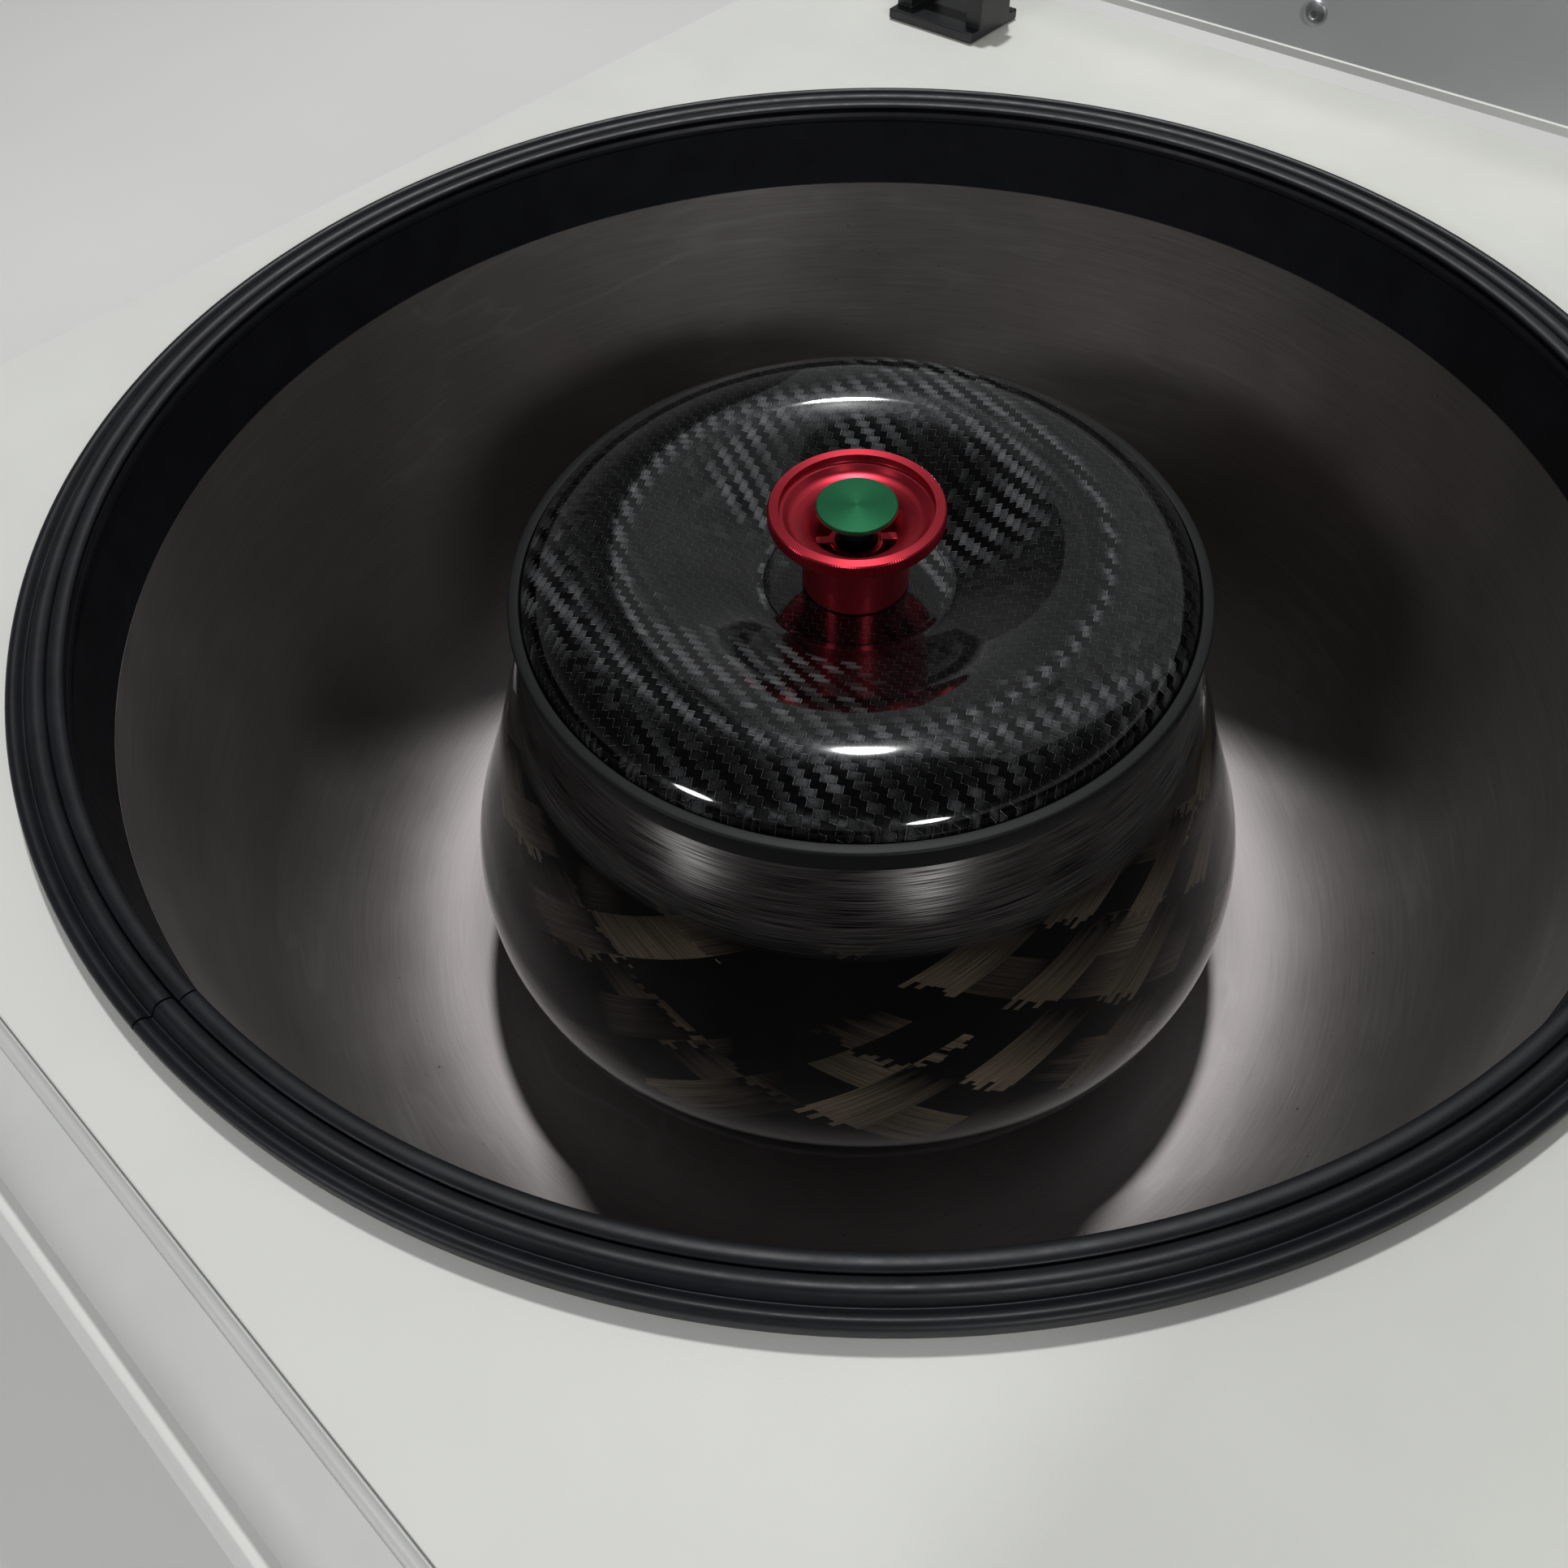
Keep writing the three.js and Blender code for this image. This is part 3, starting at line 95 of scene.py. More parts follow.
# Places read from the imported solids, in millimetres
def box(node):
    low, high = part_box(node)
    return low / MM, high / MM


rotor_low, rotor_high = box("rotor_body")
SPIN_X = (rotor_low.x + rotor_high.x) / 2
SPIN_Y = (rotor_low.y + rotor_high.y) / 2
RIM = rotor_high.z
DECK = box("deck_cover")[1].z
AXIS = Vector((SPIN_X, SPIN_Y, 0))
RIM_CENTRE = Vector((SPIN_X, SPIN_Y, RIM))

# Camera: the photograph's place and lens, relative to the spindle at the rotor's rim
EYE = Vector((184.106, -225.334, 272.818))
LOOK = Vector((-0.41955, 0.42525, -0.80196))
RIGHT = Vector((0.74360, 0.66771, -0.03496))
FOCAL_PIXELS = 1504.5
PICTURE_PIXELS = 1932
SENSOR = 36


def add_camera():
    data = bpy.data.cameras.new("camera")
    data.sensor_width = SENSOR
    data.lens = FOCAL_PIXELS * SENSOR / PICTURE_PIXELS
    data.clip_start = 0.01
    turn = Matrix((RIGHT, RIGHT.cross(LOOK), -LOOK)).transposed().to_4x4()
    camera = bpy.data.objects.new("camera", data)
    SCENE.collection.objects.link(camera)
    camera.matrix_world = Matrix.Translation((RIM_CENTRE + EYE) * MM) @ turn
    SCENE.camera = camera


add_camera()


# Mesh helpers. Lengths are in millimetres until a mesh is made
def link(name, mesh):
    piece = bpy.data.objects.new(name, mesh)
    SCENE.collection.objects.link(piece)
    return piece


def smooth(mesh, sharp):
    mesh.shade_smooth()
    mesh.set_sharp_from_angle(angle=math.radians(sharp))


def from_bmesh(name, bm, sharp=SHARP):
    bmesh.ops.remove_doubles(bm, verts=bm.verts, dist=WELD)
    bmesh.ops.recalc_face_normals(bm, faces=bm.faces)
    bmesh.ops.scale(bm, vec=Vector((MM, MM, MM)), verts=bm.verts)
    mesh = bpy.data.meshes.new(name)
    bm.to_mesh(mesh)
    bm.free()
    smooth(mesh, sharp)
    return link(name, mesh)


def move(piece, matrix):
    piece.data.transform(matrix)
    return piece


def rounded(points, steps=6, closed=False):
    """A row of (x, y) or (x, y, radius) corners with each stated corner turned into an arc."""
    result = []
    count = len(points)
    for n, point in enumerate(points):
        here = Vector(point[:2])
        radius = point[2] if len(point) > 2 else 0
        if not radius or (not closed and n in (0, count - 1)):
            result.append(tuple(here))
            continue
        before = Vector(points[n - 1][:2]) - here
        after = Vector(points[(n + 1) % count][:2]) - here
        half = before.angle(after) / 2
        reach = min(radius / math.tan(half), before.length * 0.49, after.length * 0.49)
        radius = reach * math.tan(half)
        middle = here + (before.normalized() + after.normalized()).normalized() * radius / math.sin(half)
        first = here + before.normalized() * reach - middle
        last = here + after.normalized() * reach - middle
        sweep = first.angle_signed(last)
        for k in range(steps + 1):
            spoke = first.copy()
            spoke.rotate(Matrix.Rotation(-sweep * k / steps, 2))
            result.append(tuple(middle + spoke))
    return result


def spline(points, steps=6):
    """A smooth row through every point."""
    rows = [Vector(p) for p in points]
    rows = [2 * rows[0] - rows[1], *rows, 2 * rows[-1] - rows[-2]]
    result = []
    for a, b, c, d in zip(rows, rows[1:], rows[2:], rows[3:]):
        for k in range(steps):
            t = k / steps
            result.append(tuple(0.5 * ((2 * b) + (c - a) * t + (2 * a - 5 * b + 4 * c - d) * t * t
                                       + (3 * b - a - 3 * c + d) * t ** 3)))
    return [*result, tuple(rows[-2])]


def quarter(steps):
    """Angles from zero to a right angle."""
    return [k * math.pi / 2 / steps for k in range(steps + 1)]


def bend(wall, floor, radius, steps):
    """A quarter round that leads from a wall into a floor."""
    return [(wall - radius + radius * math.cos(angle), floor + radius - radius * math.sin(angle))
            for angle in quarter(steps)]


def circle(radius, steps=64, x=0.0, y=0.0):
    angles = [TURN * n / steps for n in range(steps)]
    return [(x + radius * math.cos(angle), y + radius * math.sin(angle)) for angle in angles]


def plate(width, height, corner, x=0.0, y=0.0, steps=6):
    """The outline of a rectangle with round corners, about a middle."""
    a, b = width / 2, height / 2
    return rounded([(x - a, y - b, corner), (x + a, y - b, corner), (x + a, y + b, corner),
                    (x - a, y + b, corner)], steps, closed=True)


def lathe(name, profile, steps=192, closed=True, height=0.0, centre=AXIS, span=TURN, sharp=SHARP):
    """A body turned round a vertical axis. The profile's points are (radius, height)."""
    bm = bmesh.new()
    whole = abs(span - TURN) < EPS
    columns = []
    for k in range(steps if whole else steps + 1):
        angle = span * k / steps
        cos, sin = math.cos(angle), math.sin(angle)
        columns.append([bm.verts.new((centre.x + r * cos, centre.y + r * sin, height + z))
                        for r, z in profile])
    rows = len(profile)
    pairs = [(n, (n + 1) % rows) for n in range(rows if closed else rows - 1)]
    for left, right in zip(columns, columns[1:] + columns[:1] if whole else columns[1:]):
        for a, b in pairs:
            if profile[a][0] < EPS and profile[b][0] < EPS:
                continue
            if profile[a][0] < EPS:
                bm.faces.new((left[a], right[b], left[b]))
            elif profile[b][0] < EPS:
                bm.faces.new((left[a], right[a], left[b]))
            else:
                bm.faces.new((left[a], right[a], right[b], left[b]))
    if not whole and closed:
        for column in (columns[0], columns[-1]):
            bm.faces.new(column)
    return from_bmesh(name, bm, sharp)


def disc(name, profile, steps, **more):
    """A turned body whose profile starts and ends on the axis."""
    return lathe(name, profile, steps, closed=False, **more)


def loft(bm, rings):
    """Faces between each ring of corners and the next, with a cap on the first and the last."""
    for first, second in zip(rings, rings[1:]):
        for k in range(len(first)):
            m = (k + 1) % len(first)
            bm.faces.new((first[k], first[m], second[m], second[k]))
    for ring in (rings[0], rings[-1]):
        bm.faces.new(ring)


def prism(name, outline, low, high, axis="z"):
    """An outline drawn across an axis and carried along it from low to high."""
    bm = bmesh.new()
    rings = []
    for h in (low, high):
        rings.append([bm.verts.new((h, a, b) if axis == "x" else (a, b, h)) for a, b in outline])
    loft(bm, rings)
    return from_bmesh(name, bm)


def settle(piece, sharp=SHARP):
    """Applies a piece's modifiers to its mesh."""
    graph = bpy.context.evaluated_depsgraph_get()
    mesh = bpy.data.meshes.new_from_object(piece.evaluated_get(graph))
    piece.modifiers.clear()
    piece.data = mesh
    if sharp:
        smooth(mesh, sharp)
    return piece


def cut(piece, *tools, sharp=SHARP):
    for tool in tools:
        modifier = piece.modifiers.new("cut", "BOOLEAN")
        modifier.operation = "DIFFERENCE"
        modifier.solver = "EXACT"
        modifier.object = tool
        settle(piece, sharp)
        bpy.data.objects.remove(tool)
    return piece


def soften(piece, width, segments=3):
    """Rounds a piece's sharp edges."""
    modifier = piece.modifiers.new("bevel", "BEVEL")
    modifier.width = width * MM
    modifier.segments = segments
    modifier.limit_method = "ANGLE"
    modifier.angle_limit = math.radians(BEVELLED)
    modifier.miter_outer = "MITER_ARC"
    settle(piece)
    # large flat faces keep their own normals, and only the round edges between them blend
    piece.modifiers.new("flats", "WEIGHTED_NORMAL").keep_sharp = True
    return settle(piece, None)


def dressed(node, width, segments=2):
    """A copy of a solid with its flat triangles merged and its edges rounded, or as it is if width is 0."""
    bm = bmesh.new()
    bm.from_mesh(NODES[node].data)
    bmesh.ops.remove_doubles(bm, verts=bm.verts, dist=EPS)
    if width:
        bmesh.ops.dissolve_limit(bm, angle_limit=math.radians(FLAT), verts=bm.verts, edges=bm.edges)
    mesh = bpy.data.meshes.new(node)
    bm.to_mesh(mesh)
    bm.free()
    smooth(mesh, SHARP)
    piece = link(node + "_dressed", mesh)
    return soften(piece, width, segments) if width else piece


# Material helpers
def tone(value):
    """A colour from 0 to 255 sRGB, as linear light."""
    def line(c):
        c /= 255
        return c / 12.92 if c <= 0.04045 else ((c + 0.055) / 1.055) ** 2.4
    return (*[line(c) for c in value], 1)


def shade(colour, factor):
    return tone([min(255, c * factor) for c in colour])


class Finish:
    """One procedural material: a principled shader and short calls that wire nodes to it."""

    def __init__(self, name, colour, roughness, metallic=0.0, specular=0.5, **sockets):
        self.material = bpy.data.materials.new(name)
        self.material.use_nodes = True
        self.tree = self.material.node_tree
        self.shader = self.tree.nodes["Principled BSDF"]
        self.set("Base Color", tone(colour))
        self.set("Roughness", roughness)
        self.set("Metallic", metallic)
        self.set("Specular IOR Level", specular)
        for socket, value in sockets.items():
            self.set(socket.replace("_", " "), value)
        self.place = self.node("TexCoord").outputs["Object"]

    def feed(self, socket, value):
        """Wires a node's socket to another's output, or gives it a plain value."""
        if isinstance(value, bpy.types.NodeSocket):
            self.tree.links.new(value, socket)
        else:
            socket.default_value = value

    def set(self, socket, value):
        self.feed(self.shader.inputs[socket], value)

    def node(self, kind, *inputs, **settings):
        node = self.tree.nodes.new("ShaderNode" + kind)
        for key, value in settings.items():
            setattr(node, key, value)
        for n, value in enumerate(inputs):
            if value is not None:
                self.feed(node.inputs[n], value)
        return node

    def math(self, operation, *inputs):
        return self.node("Math", *inputs, operation=operation).outputs[0]

    def plus(self, first, second):
        return self.math("ADD", first, second)

    def minus(self, first, second):
        return self.math("SUBTRACT", first, second)

    def times(self, first, second):
        return self.math("MULTIPLY", first, second)

    def over(self, first, second):
        return self.math("DIVIDE", first, second)

    def choose(self, share, first, second):
        """The first number where share is 1, and the second where it is 0."""
        return self.plus(self.times(share, first), self.times(self.minus(1.0, share), second))

    def vector(self, operation, *inputs):
        return self.node("VectorMath", *inputs, operation=operation).outputs["Vector"]

    def scale(self, vector, factor):
        return self.vector("SCALE", vector, None, None, factor)

    def join(self, x, y, z=0.0):
        return self.node("CombineXYZ", x, y, z).outputs[0]

    def chance(self, cell):
        """An even random number for each whole cell."""
        return self.node("TexWhiteNoise", cell, noise_dimensions="3D").outputs["Value"]

    def streaks(self, place, scale=1.0, detail=2.0, roughness=0.5):
        """Soft noise over a place that has been stretched already."""
        return self.node("TexNoise", place, None, scale, detail, roughness).outputs["Fac"]

    def noise(self, size, detail=2.0):
        """Soft noise from 0 to 1 whose patches are about size millimetres across."""
        return self.streaks(self.place, 1 / (size * MM), detail)

    def ramp(self, value, low, high, start=0.0, end=1.0, kind="LINEAR"):
        return self.node("MapRange", value, low, high, start, end, interpolation_type=kind).outputs["Result"]

    def blend(self, share, first, second):
        node = self.node("Mix", data_type="RGBA")
        for socket, value in ((0, share), (6, first), (7, second)):
            self.feed(node.inputs[socket], value)
        return node.outputs[2]

    def bump(self, height, depth, strength=1.0):
        """Relief whose full height is depth millimetres."""
        node = self.node("Bump")
        for socket, value in (("Height", height), ("Strength", strength), ("Distance", depth * MM)):
            self.feed(node.inputs[socket], value)
        self.set("Normal", node.outputs["Normal"])

    def vary(self, colour, spread, share):
        """Colour that drifts to both sides of a tone."""
        drift = self.ramp(share, 0.3, 0.7)
        self.set("Base Color", self.blend(drift, shade(colour, 1 - spread), shade(colour, 1 + spread)))

    def polar(self):
        """Angle round the spindle, distance from it and height over the rim, in millimetres."""
        local = self.scale(self.vector("SUBTRACT", self.place, tuple(RIM_CENTRE * MM)), 1 / MM)
        x, y, z = self.node("SeparateXYZ", local).outputs
        radius = self.math("SQRT", self.plus(self.times(x, x), self.times(y, y)))
        return self.math("ARCTAN2", y, x), radius, z, local

    def comb(self, along):
        """Lays the grain along a direction, so that highlights stretch across it."""
        way = self.node("VectorTransform", self.vector("NORMALIZE", along), vector_type="VECTOR",
                        convert_from="OBJECT", convert_to="WORLD").outputs[0]
        self.set("Tangent", way)
        self.set("Anisotropic Rotation", 0.25)

    def comb_round(self, local):
        """Lays the grain round the spindle."""
        self.comb(self.vector("CROSS_PRODUCT", UP, local))


def surface(name, colour, roughness, metallic, grain, depth, spread, patch, specular):
    """A worn even finish: its colour and gloss drift a little, over a fine grain."""
    finish = Finish(name, colour, roughness, metallic, specular)
    finish.vary(colour, spread, finish.noise(patch, 3))
    wear = finish.noise(patch / 3, 4)
    finish.set("Roughness", finish.ramp(wear, 0.2, 0.8, roughness * 0.85, roughness * 1.15))
    finish.bump(finish.noise(grain), depth)
    return finish


def turned_metal(name, colour, roughness, metallic, lines, depth, sheen):
    """Metal turned on a lathe: fine rings, and a sheen that follows them."""
    finish = Finish(name, colour, roughness, metallic, Anisotropic=sheen)
    angle, radius, z, local = finish.polar()
    ring = finish.join(finish.over(radius, lines), finish.times(angle, 2.0), finish.over(z, lines))
    rings = finish.streaks(ring, roughness=0.6)
    finish.vary(colour, 0.08, rings)
    finish.bump(rings, depth)
    finish.comb_round(local)
    return finish


def bowl_metal(name):
    """Blasted steel, turned in rings and dulled by use, with faint pale curves of painted caustic light and a
    few brown specks.
    """
    ring_width, caustic_width, cloud_size, speck_size = 0.8, 42.0, 90, 2.2
    finish = Finish(name, (104, 102, 100), 0.46, 0.77, Anisotropic=0.55)
    angle, radius, z, local = finish.polar()
    rings = finish.streaks(finish.join(finish.times(angle, 9.0), finish.over(z, ring_width),
                                       finish.over(radius, ring_width)), detail=3.0)
    cloud = finish.noise(cloud_size, 3)
    drift = finish.plus(finish.times(cloud, 0.65), finish.times(rings, 0.35))
    steel = finish.blend(finish.ramp(drift, 0.35, 0.65), tone((115, 111, 110)), tone((134, 130, 129)))
    # painted caustics: faint pale curves of reflected light painted into the steel's colour, inside some of
    # its clouds
    bands = finish.streaks(finish.join(finish.times(angle, 1.3), finish.over(z, caustic_width),
                                       finish.over(radius, caustic_width)), detail=3.0, roughness=0.55)
    off_middle = finish.math("ABSOLUTE", finish.minus(bands, 0.5))
    ridge = finish.ramp(off_middle, 0.03, 0.0, kind="SMOOTHSTEP")
    painted_caustic = finish.times(ridge, finish.ramp(cloud, 0.45, 0.7, 0.0, 0.2))
    steel = finish.blend(painted_caustic, steel, tone((170, 168, 168)))
    speck = finish.times(finish.ramp(finish.noise(speck_size, 1), 0.77, 0.8),
                         finish.ramp(finish.noise(40, 1), 0.5, 0.62, 0.0, 0.7))
    finish.set("Base Color", finish.blend(speck, steel, tone((52, 38, 26))))
    finish.set("Roughness", finish.ramp(drift, 0.3, 0.7, 0.43, 0.5))
    finish.bump(finish.plus(finish.times(rings, 0.4), finish.times(finish.noise(0.6), 0.6)), 0.03)
    finish.comb_round(local)
    return finish


def twill(name):
    """Clear coated carbon twill: tows float over two and under two, each with its own sheen."""
    tow, lie, sway_size = 2.3, math.radians(27), 0.8
    finish = Finish(name, (60, 60, 62), 0.46, 1.0, Anisotropic=1.0, Coat_Weight=1.0, Coat_Roughness=0.06,
                    Coat_IOR=1.5)
    local = finish.polar()[3]
    wander = finish.node("TexNoise", local, None, 0.04, 1.0).outputs["Color"]
    sway = finish.scale(finish.vector("SUBTRACT", wander, (0.5, 0.5, 0.5)), 2 * sway_size)
    laid = finish.node("VectorRotate", finish.vector("ADD", local, sway), ORIGIN, UP, -lie).outputs[0]
    u, v, _ = finish.node("SeparateXYZ", finish.scale(laid, 1 / tow)).outputs
    column, row = finish.math("FLOOR", u), finish.math("FLOOR", v)
    in_column, in_row = finish.math("FRACT", u), finish.math("FRACT", v)
    step = finish.math("FLOORED_MODULO", finish.plus(column, row), 4.0)
    warp = finish.math("LESS_THAN", step, 1.5)
    weft = finish.minus(1.0, warp)
    across = finish.choose(warp, in_row, in_column)
    second = finish.minus(step, finish.times(weft, 2.0))
    along = finish.times(finish.plus(second, finish.choose(warp, in_column, in_row)), 0.5)
    arch = finish.math("SINE", finish.times(across, math.pi))
    crown = finish.math("SINE", finish.times(along, math.pi))
    pillow = finish.math("POWER", finish.times(arch, finish.plus(finish.times(crown, 0.5), 0.5)), 0.5)
    fibre_place = finish.join(finish.choose(warp, v, u), finish.times(finish.choose(warp, u, v), 0.06))
    fibres = finish.streaks(fibre_place, 9.0)
    finish.bump(finish.plus(pillow, finish.times(fibres, 0.25)), 0.10, 0.8)

    # each float has a tone of its own, mottled, and painted shade darkens it at its sides and at both ends,
    # where it curves down under its neighbours
    cell = finish.join(finish.minus(column, finish.times(warp, second)),
                       finish.minus(row, finish.times(weft, second)), warp)
    tow_tone = finish.chance(cell)
    mottle = finish.noise(0.55, 3)
    level = finish.times(finish.ramp(tow_tone, 0, 1, 0.75, 1.2), finish.ramp(mottle, 0.28, 0.72, 0.45, 1.5))
    # painted shade: the float's colour falls off towards its sides and its two ends
    edge = finish.times(finish.ramp(arch, 0.0, 0.4, 0.45, 1.0), finish.ramp(crown, 0.1, 0.75, 0.35, 1.0))
    share = finish.times(finish.times(level, edge), 0.7)
    fibre_tone_and_shade = finish.blend(share, tone((6, 6, 7)), tone((45, 46, 47)))
    # the very tips of each float turn pale, non-metal grey: partly real resin, partly a painted highlight
    # where these edges catch the light
    from_middle = finish.math("ABSOLUTE", finish.minus(along, 0.5))
    ends = finish.times(finish.ramp(from_middle, 0.455, 0.48), finish.ramp(mottle, 0.35, 0.6))
    finish.set("Base Color", finish.blend(ends, fibre_tone_and_shade, tone((66, 66, 68))))
    finish.set("Metallic", finish.minus(1.0, ends))
    twist = finish.plus(finish.times(finish.minus(tow_tone, 0.5), 0.25), lie)
    heading = finish.plus(twist, finish.times(weft, math.pi / 2))
    finish.comb(finish.join(finish.math("COSINE", heading), finish.math("SINE", heading)))
    return finish


def wound(name):
    """Clear coated filament winding below a satin neck: crossing bands of tow end in serrated steps."""
    lie, belly_radius, bundle, run, strip, jag = math.radians(27), 135.0, 15.0, 30.0, 1.7, 0.17
    thread_width, streak_height, long_way = 0.45, 0.3, 26.0
    finish = Finish(name, (9, 9, 10), 0.42, 1.0, 0.12, Anisotropic=1.0, Coat_Roughness=0.03, Coat_IOR=1.42)
    angle, _, z, local = finish.polar()
    around = finish.times(angle, belly_radius)

    def along_and_across(turn):
        cos, sin = math.cos(turn), math.sin(turn)
        return (finish.plus(finish.times(around, cos), finish.times(z, sin)),
                finish.minus(finish.times(z, cos), finish.times(around, sin)))

    def jagged(across, along, seed):
        strip_row = finish.math("FLOOR", finish.over(across, strip))
        step = finish.node("TexWhiteNoise", None, finish.plus(strip_row, seed), noise_dimensions="1D")
        return finish.plus(finish.over(along, run), finish.times(step.outputs["Value"], jag))

    along_a, across_a = along_and_across(lie)
    along_b, across_b = along_and_across(-lie)
    rows_a, rows_b = [finish.math("FLOOR", finish.over(across, bundle)) for across in (across_a, across_b)]
    run_a, run_b = jagged(across_a, across_b, 3.0), jagged(across_b, across_a, 71.0)
    ends_a, ends_b = finish.math("FLOOR", run_a), finish.math("FLOOR", run_b)
    above = finish.math("LESS_THAN", finish.math("FLOORED_MODULO", finish.plus(rows_a, ends_a), 2.0), 0.5)

    # a band shows where chance and a broad drift let it, and it fades along its run
    cell = finish.join(finish.choose(above, rows_a, ends_b), finish.choose(above, ends_a, rows_b), above)
    chance = finish.plus(finish.times(finish.chance(cell), 0.6), finish.times(finish.noise(70, 1), 0.6))
    fade = finish.ramp(finish.math("FRACT", finish.choose(above, run_a, run_b)), 0.95, 0.15)
    thread_place = finish.join(finish.over(finish.choose(above, across_a, across_b), thread_width),
                               finish.over(finish.choose(above, along_a, along_b), long_way), above)
    threads = finish.ramp(finish.streaks(thread_place), 0.32, 0.68, 0.25, 1.0)
    body = finish.times(finish.ramp(z, -38.0, -48.0), finish.ramp(z, -118.0, -98.0))
    lit = finish.times(finish.times(finish.times(finish.ramp(chance, 0.6, 0.78), fade), threads), body)

    neck, rim = finish.ramp(z, -44.0, -32.0), finish.ramp(z, -9.0, -7.6)
    streaks = finish.streaks(finish.join(finish.over(around, long_way), finish.over(z, streak_height)))
    satin = finish.blend(finish.ramp(streaks, 0.35, 0.65), tone((34, 33, 33)), tone((176, 173, 172)))
    colour = finish.blend(neck, finish.blend(lit, tone((4, 4, 4)), tone((236, 218, 188))), satin)
    finish.set("Base Color", finish.blend(rim, colour, tone((24, 25, 26))))
    finish.set("Specular IOR Level", finish.ramp(rim, 0.0, 1.0, 0.12, 0.14))
    fibre_share = finish.math("MAXIMUM", neck, finish.ramp(lit, 0.0, 0.2))
    finish.set("Metallic", finish.minus(fibre_share, finish.times(rim, 0.9)))
    finish.set("Roughness", finish.ramp(rim, 0.0, 1.0, 0.42, 0.45))
    finish.set("Anisotropic", finish.ramp(rim, 0.0, 1.0, 1.0, 0.3))
    finish.set("Coat Weight", finish.ramp(z, -30.0, -46.0))
    finish.bump(streaks, 0.01)
    flat_way = finish.vector("NORMALIZE", finish.vector("CROSS_PRODUCT", UP, local))
    rise = finish.times(finish.choose(above, math.sin(lie), -math.sin(lie)), finish.minus(1.0, neck))
    finish.comb(finish.vector("ADD", flat_way, finish.join(0.0, 0.0, rise)))
    return finish


# Even finishes: colour, roughness, metallic, grain size and depth, colour spread and patch size
EVEN = {
    "white_paint": ((212, 213, 208), 0.42, 0.0, 0.9, 0.03, 0.012, 60),
    "white_cover": ((214, 215, 211), 0.5, 0.0, 0.7, 0.03, 0.012, 60),
    "grey_plastic": ((192, 193, 190), 0.5, 0.0, 0.5, 0.02, 0.02, 40),
    "black_rubber": ((22, 23, 27), 0.42, 0.0, 0.35, 0.01, 0.12, 14),
    "zinc_steel": ((172, 174, 176), 0.42, 0.9, 3, 0.01, 0.08, 9),
    "foam": ((206, 198, 168), 0.95, 0.0, 1.2, 0.3, 0.1, 12),
    "copper": ((176, 106, 66), 0.35, 1.0, 2, 0.01, 0.15, 10),
    "black_enamel": ((26, 27, 29), 0.35, 0.0, 0.8, 0.02, 0.1, 20),
    "black_plastic": ((34, 35, 38), 0.5, 0.0, 0.4, 0.015, 0.08, 15),
    "port_glass": ((225, 232, 235), 0.05, 0.0, 20, 0.01, 0.02, 40),
    "display_glass": ((13, 18, 28), 0.08, 0.0, 12, 0.003, 0.1, 30),
    "key_plastic": ((74, 85, 96), 0.55, 0.0, 0.4, 0.01, 0.05, 10),
    "liner_sheet": ((196, 198, 199), 0.45, 0.2, 2, 0.01, 0.02, 60),
}
SPECULAR = {"white_paint": 0.4, "white_cover": 0.4, "grey_plastic": 0.4, "black_rubber": 0.22}
# Turned finishes: colour, roughness, metallic, ring width and depth, and how far the sheen stretches
TURNED = {
    "plain_steel": ((150, 152, 155), 0.35, 1.0, 0.12, 0.004, 0.6),
    "red_anodised": ((166, 42, 55), 0.33, 0.9, 0.14, 0.003, 0.6),
    "green_anodised": ((15, 74, 45), 0.46, 0.85, 0.1, 0.003, 0.3),
    "black_anodised": ((16, 24, 22), 0.35, 0.6, 0.12, 0.003, 0.6),
}


def build_materials():
    made = {name: surface(name, *row, specular=SPECULAR.get(name, 0.5)) for name, row in EVEN.items()}
    made["port_glass"].set("Transmission Weight", 0.9)
    for name, row in TURNED.items():
        made[name] = turned_metal(name, *row)
    made["bowl_steel"] = bowl_metal("bowl_steel")
    made["rotor_carbon"] = wound("rotor_carbon")
    made["lid_carbon"] = twill("lid_carbon")
    return made


FINISHES = build_materials()


def place(piece, body, slot, *nodes, look=None):
    """Gives a piece its finish, its body and the solids that it stands for."""
    piece.data.materials.clear()
    piece.data.materials.append(FINISHES[look or slot].material)
    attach(piece, body)
    if nodes:
        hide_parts(*nodes)
    return piece


# Every solid first gets the finish of its slot. Those that a fuller piece stands for are hidden later
SLOTS = {row["node"]: row["material_slot"] for row in frame["record"]["subparts"]}


def finish_solids():
    for name, node in NODES.items():
        if not node.material_slots:
            node.data.materials.append(None)
        for held in node.material_slots:
            held.material = FINISHES[SLOTS[name]].material


finish_solids()


# Chamber pieces, heights from the deck
MOUTH = 226.1
BOWL_TOP = -26.7


def seamed_ring(name, profile, seam, azimuth):
    """A ring cut from strip, with a thin butt seam at an azimuth in degrees."""
    ring = lathe(name, profile, 300, height=DECK, centre=ORIGIN, span=TURN - seam / MOUTH, sharp=50)
    return move(ring, Matrix.Translation(AXIS * MM) @ Matrix.Rotation(math.radians(azimuth), 4, "Z"))


def make_gasket():
    inner, foot = 229.5, 0.3
    dome = spline([(239.0, foot), (239.4, 1.6), (239.4, 4.6), (238.9, 6.0), (237.6, 6.55), (236.4, 6.1),
                   (235.5, 5.0), (234.9, 4.7), (234.2, 5.6), (233.2, 6.6), (232.2, 6.85), (231.0, 6.6),
                   (229.9, 5.9), (inner, 5.2)], 4)
    place(seamed_ring("gasket_dome", [*dome, (inner, foot)], 0.55, 270.0), "cabinet", "black_rubber",
          "mouth_gasket")
    lip = spline([(229.25, 3.0), (229.2, 5.1), (228.7, 5.75), (227.6, 5.95), (226.2, 5.7), (225.3, 5.2),
                  (225.0, 4.6), (225.6, 3.9), (228.9, 3.1)], 4)
    place(seamed_ring("gasket_lip", lip, 0.5, 270.5), "cabinet", "black_rubber", "mouth_gasket")


